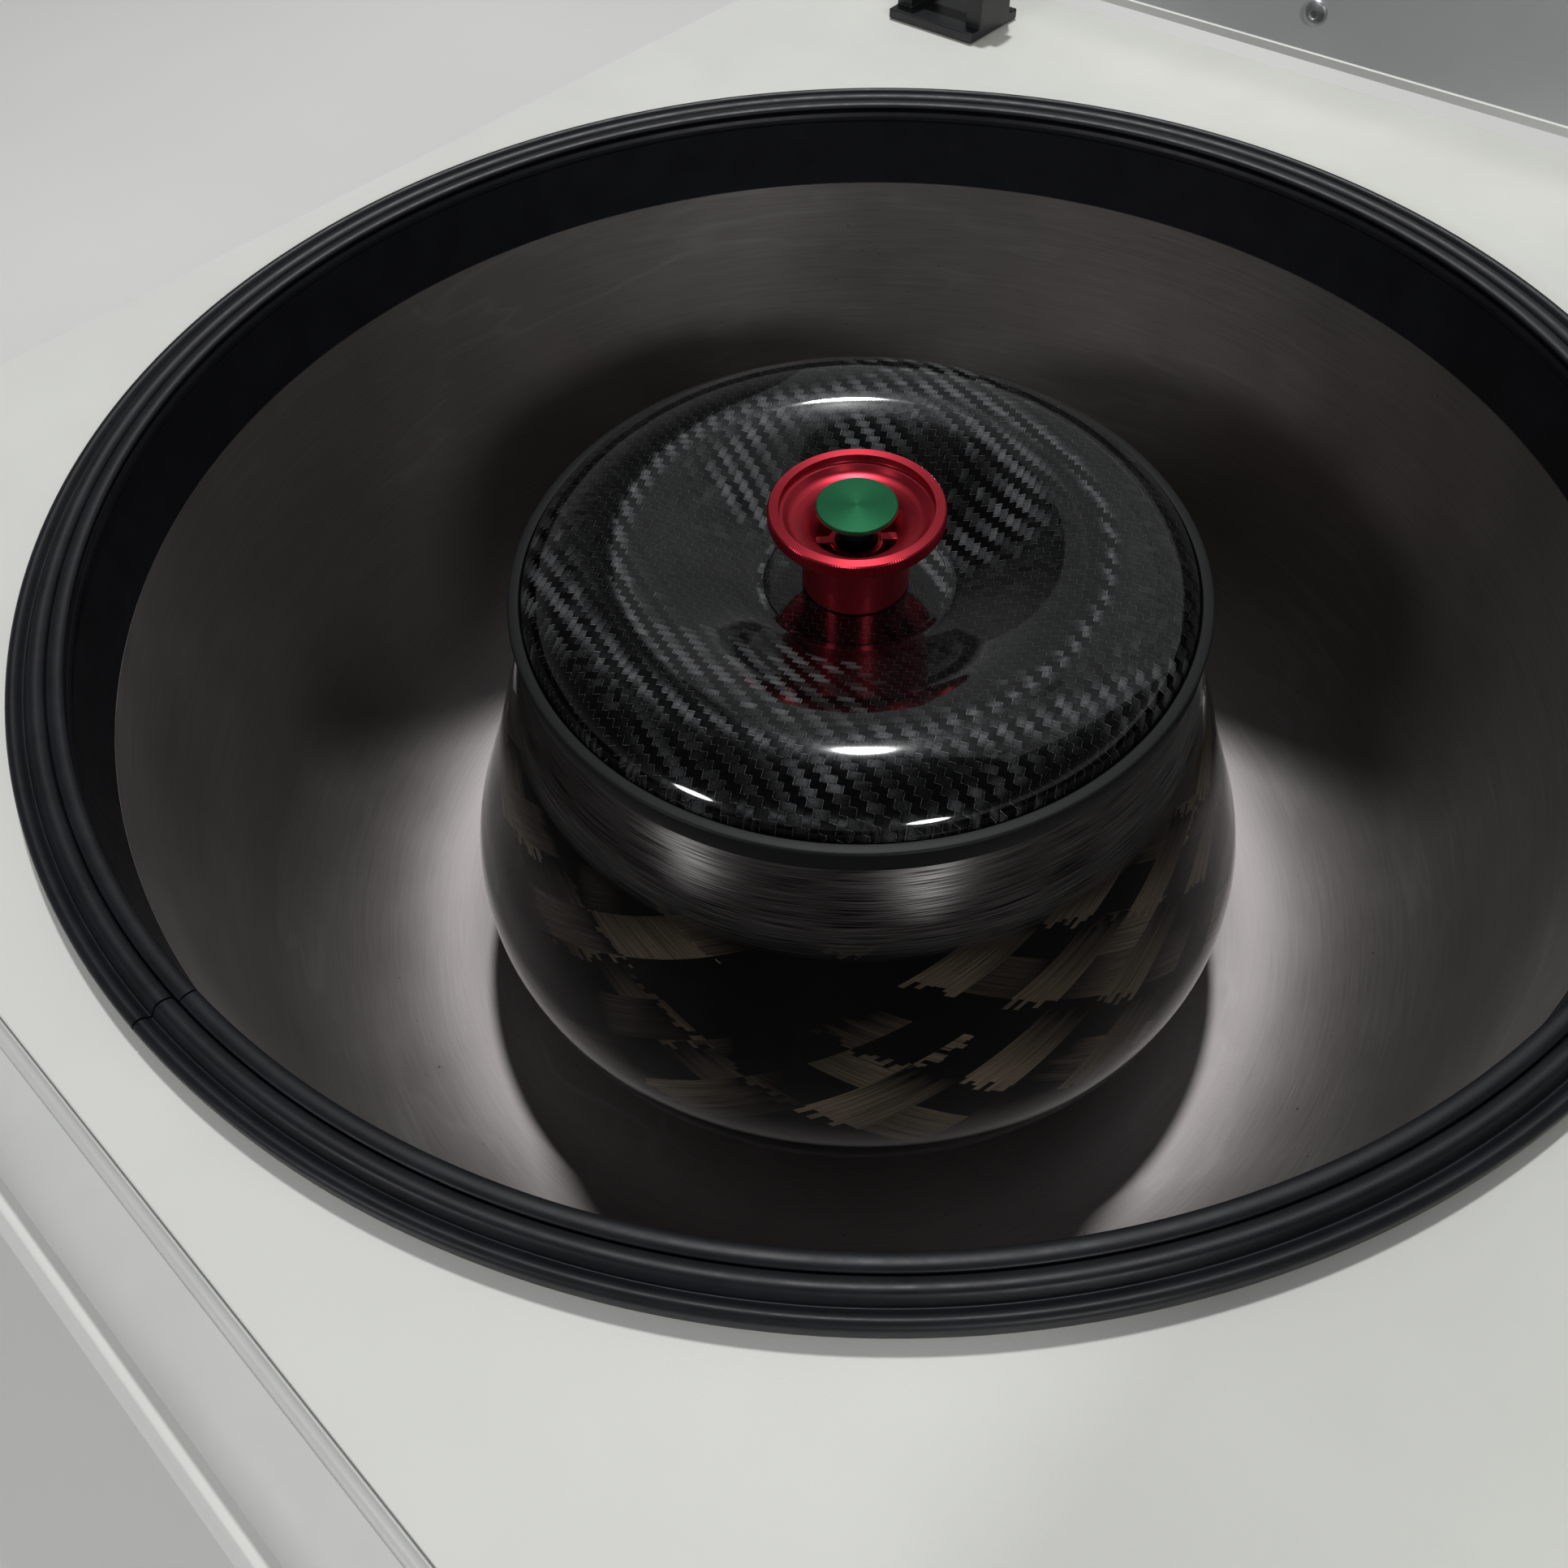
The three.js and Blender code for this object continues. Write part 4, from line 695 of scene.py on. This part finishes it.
def make_collar():
    foot, lip_top, outer = BOWL_TOP + 0.3, 2.4, MOUTH + 3
    ring = rounded([(MOUTH, foot), (MOUTH, -1.4, 0.6), (MOUTH - 0.7, -0.4, 0.5), (MOUTH - 0.6, 0.9, 0.7),
                    (MOUTH, lip_top, 0.5), (outer, lip_top, 0.6), (outer, foot)], 4, closed=True)
    place(seamed_ring("collar_ring", ring, 0.4, 271.1), "cabinet", "black_rubber", "mouth_collar")


def make_bowl():
    floor, corner, wall, flange = -217.6, 70.0, 1.5, 7.5
    cone_foot, cone_top, cone_rise, boot_hole = 62, 36, 46, 18.8
    cone = rounded([(MOUTH - corner, floor), (cone_foot, floor, 14), (cone_top, floor + cone_rise, 8),
                    (boot_hole, floor + cone_rise)], 6)
    inner = [(MOUTH, BOWL_TOP), *bend(MOUTH, floor, corner, 16), *cone[1:]]
    outer = [(r + wall * 0.8 if r > 100 else r, z - (wall if r < 190 else 0)) for r, z in reversed(inner)]
    rim = [(MOUTH + wall, BOWL_TOP - wall), (MOUTH + flange, BOWL_TOP - wall), (MOUTH + flange, BOWL_TOP)]
    place(lathe("bowl_skin", [*inner, *outer[:-1], *rim], 256, height=DECK, sharp=50), "cabinet",
          "bowl_steel", "bowl")


def make_foam():
    """The insulation, its inner face set back from the bowl and clear of the coil."""
    low, high = box("bowl_insulation")
    outer, top, floor = (high.x - low.x) / 2, high.z - DECK, low.z - DECK
    inner, shelf, hole, corner = outer - 20, floor + 12, 44, 66
    ring = [(inner, top), *bend(inner, shelf, corner, 12), (hole, shelf), (hole, floor), (outer, floor),
            (outer, top)]
    place(lathe("foam_ring", ring, 128, height=DECK), "cabinet", "foam", "bowl_insulation")


def make_coil():
    low, high = box("evaporator_coil")
    tube, turns, sides, steps = 9.5 / 2, 3, 12, 64
    radius, drop = (high.x - low.x) / 2 - tube, high.z - low.z - 2 * tube
    bm = bmesh.new()
    rings = []
    for n in range(turns * steps + 1):
        angle = TURN * n / steps
        rise = high.z - tube - drop * n / (turns * steps)
        rings.append([bm.verts.new((SPIN_X + (radius + a) * math.cos(angle),
                                    SPIN_Y + (radius + a) * math.sin(angle), rise + b))
                      for a, b in circle(tube, sides)])
    loft(bm, rings)
    place(from_bmesh("coil_tube", bm), "cabinet", "copper", "evaporator_coil")


make_gasket()
make_collar()
make_bowl()
make_foam()
make_coil()


# Rotor pieces, heights from the rim
def make_rotor():
    foot, floor = rotor_low.z - RIM, -22.0
    bore, seat, post = 20.3, foot + 36, 25.3
    side = spline([(111.6, -8.0), (110.7, -10.4), (111.0, -14.0), (112.0, -20.0), (113.4, -27.0),
                   (115.6, -33.0), (119.6, -42.5), (124.9, -56.0), (132.6, -78.0), (141.8, -101.0),
                   (146.2, -112.0), (148.2, -121.0), (147.2, -131.0), (141.6, -142.5), (132.0, -150.0),
                   (120.0, foot)], 5)
    band = rounded([(96.0, floor), (101.0, floor, 1.2), (101.0, -9.0), (108.2, -9.0), (108.2, 0.0, 0.4),
                    (112.0, 0.0, 0.9), (112.0, -7.6, 0.4), (111.6, -8.0)], 4)
    under = rounded([(120.0, foot), (72.0, foot, 4), (34.0, foot + 76, 4), (post, foot + 76), (post, seat)],
                    4)
    deck = rounded([(bore, seat), (bore, -14.0, 0.4), (post, -14.0, 0.6), (post, floor, 1.0), (96.0, floor)],
                   3)
    shell = lathe("rotor_shell", [*band, *side[1:], *under[1:], *deck[:-1]], 240, height=RIM, sharp=38)
    cut(shell, *bottle_pits(6, floor), sharp=38)
    place(shell, "rotor", "rotor_carbon", "rotor_body")


def bottle_pits(count, floor):
    """Slanted cutters whose axes cross the rotor's inner floor on the pitch circle."""
    pitch, tilt, depth, reach, radius, corner = 65.0, math.radians(23), 116, 135, 31.3, 7
    pit = rounded([(0, 0), (radius, 0, corner), (radius, reach), (0, reach)], 6)
    start = Vector((pitch + depth * math.sin(tilt), 0, floor - depth * math.cos(tilt)))
    lean = Matrix.Translation(start * MM) @ Matrix.Rotation(-tilt, 4, "Y")
    tools = []
    for n in range(count):
        turn = Matrix.Translation(RIM_CENTRE * MM) @ Matrix.Rotation(n * TURN / count, 4, "Z")
        tools.append(move(disc(f"pit_{n}", pit, 96, centre=ORIGIN), turn @ lean))
    return tools


def make_rotor_lid():
    edge, crest, shoulder_foot, shoulder_rise = 107.85, 80.0, -2.2, 14.2
    bore, floor, under_floor, skirt = 11.0, -6.3, -9.5, -8.7
    shoulder = [(crest + (edge - crest) * math.sin(angle), shoulder_foot + shoulder_rise * math.cos(angle))
                for angle in quarter(14)]
    dish = spline([(30.0, -6.4), (33.0, -6.0), (38.0, -4.0), (46.0, -0.2), (56.0, 4.6), (64.0, 8.0),
                   (71.8, 10.55)], 6)
    middle = rounded([(bore, floor), (29.5, floor, 0.4), (30.0, -6.4)], 3)
    top = [*middle[:-1], *dish, (72.1, 10.62), (74.4, 11.2), (77.2, 11.76), *shoulder]
    under = rounded([(edge, skirt, 0.3), (100.7, skirt), (100.7, -12.7, 0.3), (97.9, -12.7, 0.3),
                     (97.9, skirt), (83.0, 6.0, 4), (72.0, 6.0, 4), (33.0, under_floor, 3),
                     (bore, under_floor)], 4, closed=True)
    place(lathe("rotor_lid_shell", [*top, *under], 256, height=RIM, sharp=40), "rotor_cover", "lid_carbon",
          "rotor_lid")


KNOB_TOP = 23.9
KNOB_RIM = 27.7
KNOB_HOLE = 24.1


def knurled_rim():
    """The knob's rim. Each tooth is a small ridge that fades into both chamfers."""
    count, depth = 217 * 4, 0.52
    bm = bmesh.new()
    rings = []
    for drop, inset, share in ((0, 0.75, 0), (0.45, 0.28, 0.45), (0.9, 0.05, 1), (4.1, 0.05, 1),
                               (4.55, 0.3, 0.45), (5.0, 0.9, 0)):
        ring = []
        for k in range(count):
            angle = TURN * k / count
            radius = KNOB_RIM - inset - (0, 0.5, 1, 0.5)[k % 4] * depth * share
            ring.append(bm.verts.new((SPIN_X + radius * math.cos(angle), SPIN_Y + radius * math.sin(angle),
                                      RIM + KNOB_TOP - drop)))
        rings.append(ring)
    loft(bm, rings)
    low, high = KNOB_TOP - 9, KNOB_TOP + 3
    core = disc("knurl_core", [(0, low), (KNOB_HOLE, low), (KNOB_HOLE, high), (0, high)], 192, height=RIM)
    return cut(from_bmesh("knob_knurl", bm, 20), core, sharp=20)


def knob_body():
    top, throat, sleeve, bore, well = KNOB_TOP, 12.4, 8.6, 6.55, KNOB_TOP - 20
    neck, seat, foot = 10.4, -6.0, -21.6
    dish = spline([(22.2, top - 3.4), (20.9, top - 4.5), (18.6, top - 5.3), (16.2, top - 6.6),
                   (14.2, top - 8.6), (12.9, top - 11.4), (throat, top - 14.5)], 5)
    lip = rounded([(KNOB_HOLE, top - 0.1, 0.25), (23.9, top - 2.4, 0.3), (22.9, top - 2.7, 0.4),
                   (22.2, top - 3.4)], 3)
    shaft = rounded([(throat, top - 14.5), (throat, well, 0.8), (sleeve, well)], 4)
    inside = rounded([(sleeve, well), (sleeve, top - 13.2, 0.5), (bore, top - 13.2, 0.4), (bore, foot)], 3)
    outside = rounded([(neck, foot), (neck, seat), (17.3, seat, 0.5), (17.3, top - 8.6, 1.8),
                       (20.4, top - 6.9, 1.2), (26.4, top - 5.3, 0.6), (26.7, top - 4.9)], 5)
    return lathe("knob_body", [(KNOB_HOLE, top - 5.0), *lip[:-1], *dish, *shaft[1:], *inside[1:], *outside],
                 192, height=RIM, sharp=36)


def knob_spoke(n, count):
    length, width, middle, low, high = 6.6, 3.4, 10.6, KNOB_TOP - 19, KNOB_TOP - 13.0
    bar = prism(f"knob_spoke_{n}", plate(length, width, 0.3, x=middle), low, high)
    turn = Matrix.Rotation((n + 0.5) * TURN / count, 4, "Z")
    return soften(move(bar, Matrix.Translation(RIM_CENTRE * MM) @ turn), 0.5)


def make_knob():
    knurl = knurled_rim()
    for piece in (knob_body(), knurl, *[knob_spoke(n, 4) for n in range(4)]):
        place(piece, "knob", "red_anodised", "rotor_knob")


def make_button():
    top, thick, radius, stem, collar, tip, foot = 24.3, 2, 12.7, 5.6, 6.2, 5.2, -25.8
    cap = rounded([(0, top - thick), (radius - 0.8, top - thick, 0.3), (radius, top - 1.5, 0.3),
                   (radius, top - 0.25, 0.25), (radius - 0.3, top, 0.2), (0, top)], 4)
    place(disc("button_disc", cap, 160, height=RIM), "button", "green_anodised", "lock_button")
    post = rounded([(0, foot), (stem, foot, 0.4), (stem, foot + 4), (collar, foot + 16),
                    (collar, top - 4.4, 1.0), (tip, top - 3.2, 0.6), (tip, top - 2.3), (0, top - 2.3)], 4)
    place(disc("button_stem", post, 96, height=RIM), "button", "black_anodised", "lock_stem")


SOCKET_DEPTH = 64.3


def make_hub():
    low, high = box("rotor_hub")
    foot, top, outer, collar, bore = low.z - RIM, high.z - RIM, 20.0, 10.7, 11.3
    well, ledge, floor, roof = 6.5, -22, -30, foot + SOCKET_DEPTH
    ring = rounded([(0, floor), (well, floor), (well, ledge), (collar, ledge), (collar, top, 0.3),
                    (outer, top, 0.5), (outer, foot, 0.8), (bore, foot, 0.6), (bore, roof), (0, roof)], 3)
    place(disc("hub_core", ring, 128, height=RIM), "rotor", "plain_steel", "rotor_hub")


def make_lid_seal():
    low, high = box("rotor_lid_seal")
    thick = 1.1
    seal = circle(thick, 16, high.x - SPIN_X - thick, (low.z + high.z) / 2 - RIM)
    place(lathe("lid_seal_ring", seal, 192, height=RIM, sharp=60), "rotor_cover", "black_rubber",
          "rotor_lid_seal")


def make_spindle():
    low, high = box("drive_spindle")
    foot, top, flange = low.z - RIM, high.z - RIM, high.z - RIM - SOCKET_DEPTH
    shank, flange_radius, flange_thick, nose, taper = 9, 23, 4, 11, 6
    under = flange - flange_thick
    shaft = rounded([(0, foot), (shank, foot), (shank, under), (flange_radius, under, 0.6),
                     (flange_radius, flange, 0.6), (nose, flange, 0.8), (nose, top - taper, 3),
                     (nose - 3, top, 1.5), (0, top)], 5)
    place(disc("spindle_shaft", shaft, 128, height=RIM), "drive", "plain_steel", "drive_spindle")


def make_boot():
    low, high = box("spindle_boot")
    foot, top, bore, skirt = low.z - RIM, high.z - RIM, 10.2, 21.2
    boot = rounded([(bore, foot), (skirt, foot, 0.8), (skirt, foot + 3, 1.2), (16.0, foot + 4.5, 1.5),
                    (11.4, top, 0.8), (bore, top)], 5, closed=True)
    place(lathe("spindle_boot_skin", boot, 128, height=RIM), "cabinet", "black_rubber", "spindle_boot")


make_rotor()
make_rotor_lid()
make_knob()
make_button()
make_hub()
make_lid_seal()
make_spindle()
make_boot()


# Deck and front
OVERRUN = 5


def make_deck():
    low, high = box("deck_cover")
    hole, slot_width, slot_depth, slot_inset = 229.4, 34, 13, 12
    corners = [(low.x, low.y), (high.x, low.y), (high.x, high.y), (low.x, high.y)]
    deck = prism("deck_plate", corners, low.z, high.z)
    outlines = [circle(hole, 256, SPIN_X, SPIN_Y)]
    for side in ("left", "right"):
        striker_low, striker_high = box(f"striker_{side}")
        middle = (striker_low.x + striker_high.x) / 2
        outlines.append(plate(slot_width, slot_depth, 2.5, middle, low.y + slot_inset + slot_depth / 2))
    cut(deck, *[prism("hole", outline, low.z - OVERRUN, high.z + OVERRUN) for outline in outlines])
    place(soften(deck, 0.8), "cabinet", "white_paint", "deck_cover")


def make_front():
    """The rounded nose, the grooved bead between it and the deck, and the white skirt below its step."""
    low, high = box("front_panel")
    front, top, foot = low.y, high.z, low.z
    back = box("deck_cover")[0].y - 3.5
    reach, drop, wall, step = 16, 13, 3, high.z - 16
    nose = [(back - reach * math.sin(angle), top - drop * (1 - math.cos(angle))) for angle in quarter(12)]
    inner = [(y + wall * math.sin(angle), z - wall * math.cos(angle))
             for angle, (y, z) in zip(quarter(12), nose)]
    trim = [(back, top - 8), *nose, (back - reach, top - 15.7), (back - reach + wall, top - 15.7),
            *reversed(inner[1:]), (back - 2.9, top - wall), (back - 2.9, top - 8)]
    place(prism("nose_trim", trim, low.x, high.x, "x"), "cabinet", "grey_plastic", "front_panel")
    bead = rounded([(back - 2, top - 4.5), (back + 3.3, top - 4.5), (back + 3.3, top - 1.1, 0.9),
                    (back + 1.7, top - 2.4, 1.4), (back + 0.1, top - 1.1, 0.9), (back - 2, top - 3)], 4,
                   closed=True)
    place(prism("groove_bead", bead, low.x, high.x, "x"), "cabinet", "grey_plastic", "front_panel")
    knee, ledge = step - 82, back - reach + wall
    skirt = rounded([(ledge, step - wall), (ledge, step), (back - 20.5, step, 1.2), (front, knee, 30),
                     (front, foot), (front + wall, foot), (front + wall, knee, 30),
                     (back - 17.8, step - wall, 0.5)], 6, closed=True)
    place(prism("front_skirt", skirt, low.x, high.x, "x"), "cabinet", "white_cover", "front_panel")


make_deck()
make_front()


# Plain solids with rounded edges, and how wide the edges are
SINGLE_EDGES = {"left_side_panel": 0.6, "right_side_panel": 0, "rear_panel": 0.6, "control_fascia": 1.0,
                "tower_cover": 1.0, "power_inlet": 0.4, "power_switch": 0.6, "lid_shell": 0.8,
                "display_lens": 0.6, "key_1": 0.9, "key_2": 0.9, "key_3": 0.9, "key_4": 0.9}
PAIRED_EDGES = {"hinge_bracket": 0.6, "hinge_arm": 0.5, "striker": 0.5, "latch_hook": 0.4,
                "latch_bracket": 0.3}


def dress_solids():
    widths = dict(SINGLE_EDGES)
    for name, width in PAIRED_EDGES.items():
        for side in ("left", "right"):
            widths[f"{name}_{side}"] = width
    for name, width in widths.items():
        place(dressed(name, width), NODES[name]["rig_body"], SLOTS[name], name)


dress_solids()


# Raised lid. Its pieces are drawn closed about the hinge line, and turned up with the solids
LID_OPEN = math.radians(80)
pin_low, pin_high = box("hinge_pin_left")
HINGE = Vector((SPIN_X, (pin_low.y + pin_high.y) / 2, (pin_low.z + pin_high.z) / 2))
LID_FRAME = Matrix.Translation(HINGE * MM) @ Matrix.Rotation(-LID_OPEN, 4, "X")
LID_CENTRE = Vector((0, SPIN_Y - HINGE.y, 0))


def lid_box(node):
    """A solid's box with the lid closed, from the hinge line."""
    down = LID_FRAME.inverted()
    points = [down @ vertex.co / MM for vertex in NODES[node].data.vertices]
    return [Vector([edge(point[n] for point in points) for n in range(3)]) for edge in (min, max)]


def make_liner():
    """A pressed plate with a round dished centre, a tube for the view port and screws round its edge."""
    low, high = lid_box("lid_liner")
    lens_low, lens_high = lid_box("lid_window")
    land, slope, rise, sheet, inset = MOUTH - 10, 16, 8, 2, 14
    tube = (lens_high.x - lens_low.x) / 2 - 3
    under, over = low.z, low.z + sheet
    pan = rounded([(tube, under + rise), (land - slope, under + rise, 9), (land, under, 9), (land + 5, under),
                   (land + 5, over), (land, over, 7), (land - slope, over + rise, 11),
                   (tube + sheet, over + rise), (tube + sheet, lens_low.z), (tube, lens_low.z)], 6)
    dish = lathe("liner_dish", pan, 192, centre=LID_CENTRE)
    middle = (low.y + high.y) / 2
    outline = plate(high.x - low.x, high.y - low.y, 12, y=middle)
    flat = prism("liner_plate", outline, under, over)
    cut(flat, prism("hole", circle(land + 4, 192, 0, LID_CENTRE.y), under - OVERRUN, over + OVERRUN))
    soften(flat, 0.8)
    head = rounded([(0, under + 0.2), (4.4, under + 0.2), (4.2, under - 1.1, 0.7), (1.7, under - 1.9, 1.5),
                    (1.5, under - 1.2, 0.2), (0, under - 1.2)], 3)
    across, along = (high.x - low.x) / 2 - inset, (high.y - low.y) / 2 - inset
    for n, (x, y) in enumerate([(-1, -1), (0, -1), (1, -1), (1, 0), (1, 1), (0, 1), (-1, 1), (-1, 0)]):
        screw = disc(f"liner_screw_{n}", head, 24, centre=Vector((x * across, middle + y * along, 0)))
        place(move(screw, LID_FRAME), "lid", "zinc_steel", "lid_liner")
    for piece in (dish, flat):
        place(move(piece, LID_FRAME), "lid", "zinc_steel", "lid_liner", look="liner_sheet")


def make_window():
    low, high = lid_box("lid_window")
    radius = (high.x - low.x) / 2
    lens = rounded([(0, low.z), (radius, low.z, 0.4), (radius, high.z - 1.2, 1.0), (radius - 3, high.z, 2),
                    (0, high.z)], 4)
    place(move(disc("port_lens", lens, 96, centre=LID_CENTRE), LID_FRAME), "lid", "port_glass", "lid_window")


make_liner()
make_window()


# Control face and panel fastenings
def face_frame(node, towards):
    """A frame on a solid's largest face that looks that way: x across, y up the face and z out of it."""
    facing, skin = 0.7, 0.3 * MM
    mesh = NODES[node].data
    faces = [face for face in mesh.polygons if face.normal.dot(towards) > facing]
    normal = max(faces, key=lambda face: face.area).normal.copy()
    reach = max(normal.dot(vertex.co) for vertex in mesh.vertices)
    front = [vertex.co for vertex in mesh.vertices if normal.dot(vertex.co) > reach - skin]
    centre = (Vector([min(co[n] for co in front) for n in range(3)])
              + Vector([max(co[n] for co in front) for n in range(3)])) / 2
    across = UP.cross(normal).normalized()
    turn = Matrix((across, normal.cross(across), normal)).transposed().to_4x4()
    return Matrix.Translation(centre) @ turn


def make_bezel():
    low, high = box("display_lens")
    wide, tall, band, lap, sink, rise, edge = high.x - low.x, (high - low).yz.length, 5.0, 0.6, 1.5, 1.3, 0.6
    bezel = prism("display_bezel", plate(wide + 2 * band, tall + 2 * band, 8), -sink, rise)
    hole = prism("hole", plate(wide - lap, tall - lap, 4), -sink - OVERRUN, rise + OVERRUN)
    move(soften(cut(bezel, hole), edge), face_frame("display_lens", Vector((0, -1, 0))))
    place(bezel, "cabinet", "display_glass", "display_lens", look="black_plastic")


def make_screws():
    """Dome screws along the edges of the rear panel and both sides."""
    head = rounded([(0, -1), (4.6, -1), (4.6, 0.6, 0.4), (2.0, 2.0, 2), (1.8, 1.1, 0.2), (0, 1.1)], 3)
    inset, above_foot, shares = 18, 16, (0, 0.33, 0.67, 1)
    for node, towards in (("rear_panel", (0, 1, 0)), ("left_side_panel", (-1, 0, 0)),
                          ("right_side_panel", (1, 0, 0))):
        low, high = box(node)
        turn = UP.rotation_difference(Vector(towards)).to_matrix().to_4x4()
        run = 0 if towards[1] else 1
        face = (high if sum(towards) > 0 else low)[1 - run]
        upper = (high.z - inset, shares[1:]) if run else (DECK - 20, shares)
        for z, row in ((low.z + above_foot, shares), upper):
            for share in row:
                centre = Vector((face, face, z))
                centre[run] = low[run] + inset + share * (high[run] - low[run] - 2 * inset)
                screw = disc(f"{node}_screw", head, 24, centre=ORIGIN)
                place(move(screw, Matrix.Translation(centre * MM) @ turn), "cabinet", "zinc_steel", node)


def make_feet():
    foot, waist, head = 19.6, 17.3, 20
    for node in [f"foot_{end}_{side}" for end in ("front", "rear") for side in ("left", "right")]:
        low, high = box(node)
        pad = rounded([(0, 0), (foot, 0, 1.5), (waist, 11, 6), (head, high.z, 1.0), (0, high.z)], 5)
        piece = disc(node.replace("foot", "foot_pad"), pad, 64, centre=(low + high) / 2)
        place(piece, "cabinet", "black_rubber", node)


make_bezel()
make_screws()
make_feet()


# Stage: floor, world and lamps
def make_stage():
    radius, thick, patch = 4000, 20, 400
    floor = Finish("stage_floor", (226, 226, 224), 0.7)
    drift = floor.ramp(floor.noise(patch, 3), 0.3, 0.7)
    floor.set("Base Color", floor.blend(drift, tone((224, 224, 222)), tone((228, 228, 226))))
    piece = prism("floor", circle(radius, 128), -thick, 0)
    piece.data.materials.append(floor.material)
    piece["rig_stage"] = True


def make_world(ambient=0.25, horizon=0.2, ceiling=0.04):
    """Even light from all sides. The camera, mirrors and glass see a dimmer room that darkens upward."""
    world = bpy.data.worlds.new("studio")
    SCENE.world = world
    world.use_nodes = True
    tree = world.node_tree
    tree.nodes.clear()
    output = tree.nodes.new("ShaderNodeOutputWorld")
    rays = tree.nodes.new("ShaderNodeLightPath")
    direction = tree.nodes.new("ShaderNodeTexCoord")
    split = tree.nodes.new("ShaderNodeSeparateXYZ")
    tree.links.new(direction.outputs["Generated"], split.inputs[0])
    height = tree.nodes.new("ShaderNodeMapRange")
    height.interpolation_type = "SMOOTHSTEP"
    tree.links.new(split.outputs["Z"], height.inputs["Value"])
    for socket, value in (("From Min", 0.25), ("From Max", 0.6), ("To Min", horizon), ("To Max", ceiling)):
        height.inputs[socket].default_value = value
    level = ambient
    for ray in ("Is Camera Ray", "Is Glossy Ray", "Is Transmission Ray"):
        choice = tree.nodes.new("ShaderNodeMix")
        choice.data_type = "FLOAT"
        tree.links.new(rays.outputs[ray], choice.inputs[0])
        tree.links.new(height.outputs[0], choice.inputs[3])
        if isinstance(level, bpy.types.NodeSocket):
            tree.links.new(level, choice.inputs[2])
        else:
            choice.inputs[2].default_value = level
        level = choice.outputs[0]
    sky = tree.nodes.new("ShaderNodeBackground")
    tree.links.new(level, sky.inputs["Strength"])
    tree.links.new(sky.outputs[0], output.inputs[0])


def add_lamp(name, towards, distance, width, height, power):
    """A soft oval lamp that looks at the rotor, at a distance in metres."""
    data = bpy.data.lights.new(name, "AREA")
    data.shape = "ELLIPSE"
    data.size = width
    data.size_y = height
    data.energy = power
    lamp = bpy.data.objects.new(name, data)
    SCENE.collection.objects.link(lamp)
    way = Vector(towards).normalized()
    lamp.location = RIM_CENTRE * MM + way * distance
    lamp.rotation_euler = (-way).to_track_quat("-Z", "Y").to_euler()
    return lamp


def pass_lid(lamp):
    """The lamp stands high behind the machine, where the raised lid would hide it. The lid lets it pass."""
    lid = bpy.data.collections.new("raised_lid")
    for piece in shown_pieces():
        if piece.get("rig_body") == "lid":
            lid.objects.link(piece)
    lamp.light_linking.blocker_collection = lid
    for member in lid.collection_objects:
        member.light_linking.link_state = "EXCLUDE"


make_stage()
make_world()
pass_lid(add_lamp("key", (-0.246, 0.327, 0.912), 2.6, 0.2, 0.2, 41))
add_lamp("front_left", (-0.13, -0.93, 0.47), 2.2, 0.42, 0.3, 9.5)
add_lamp("front_right", (0.80, -0.44, 0.47), 2.2, 0.42, 0.3, 12.5)
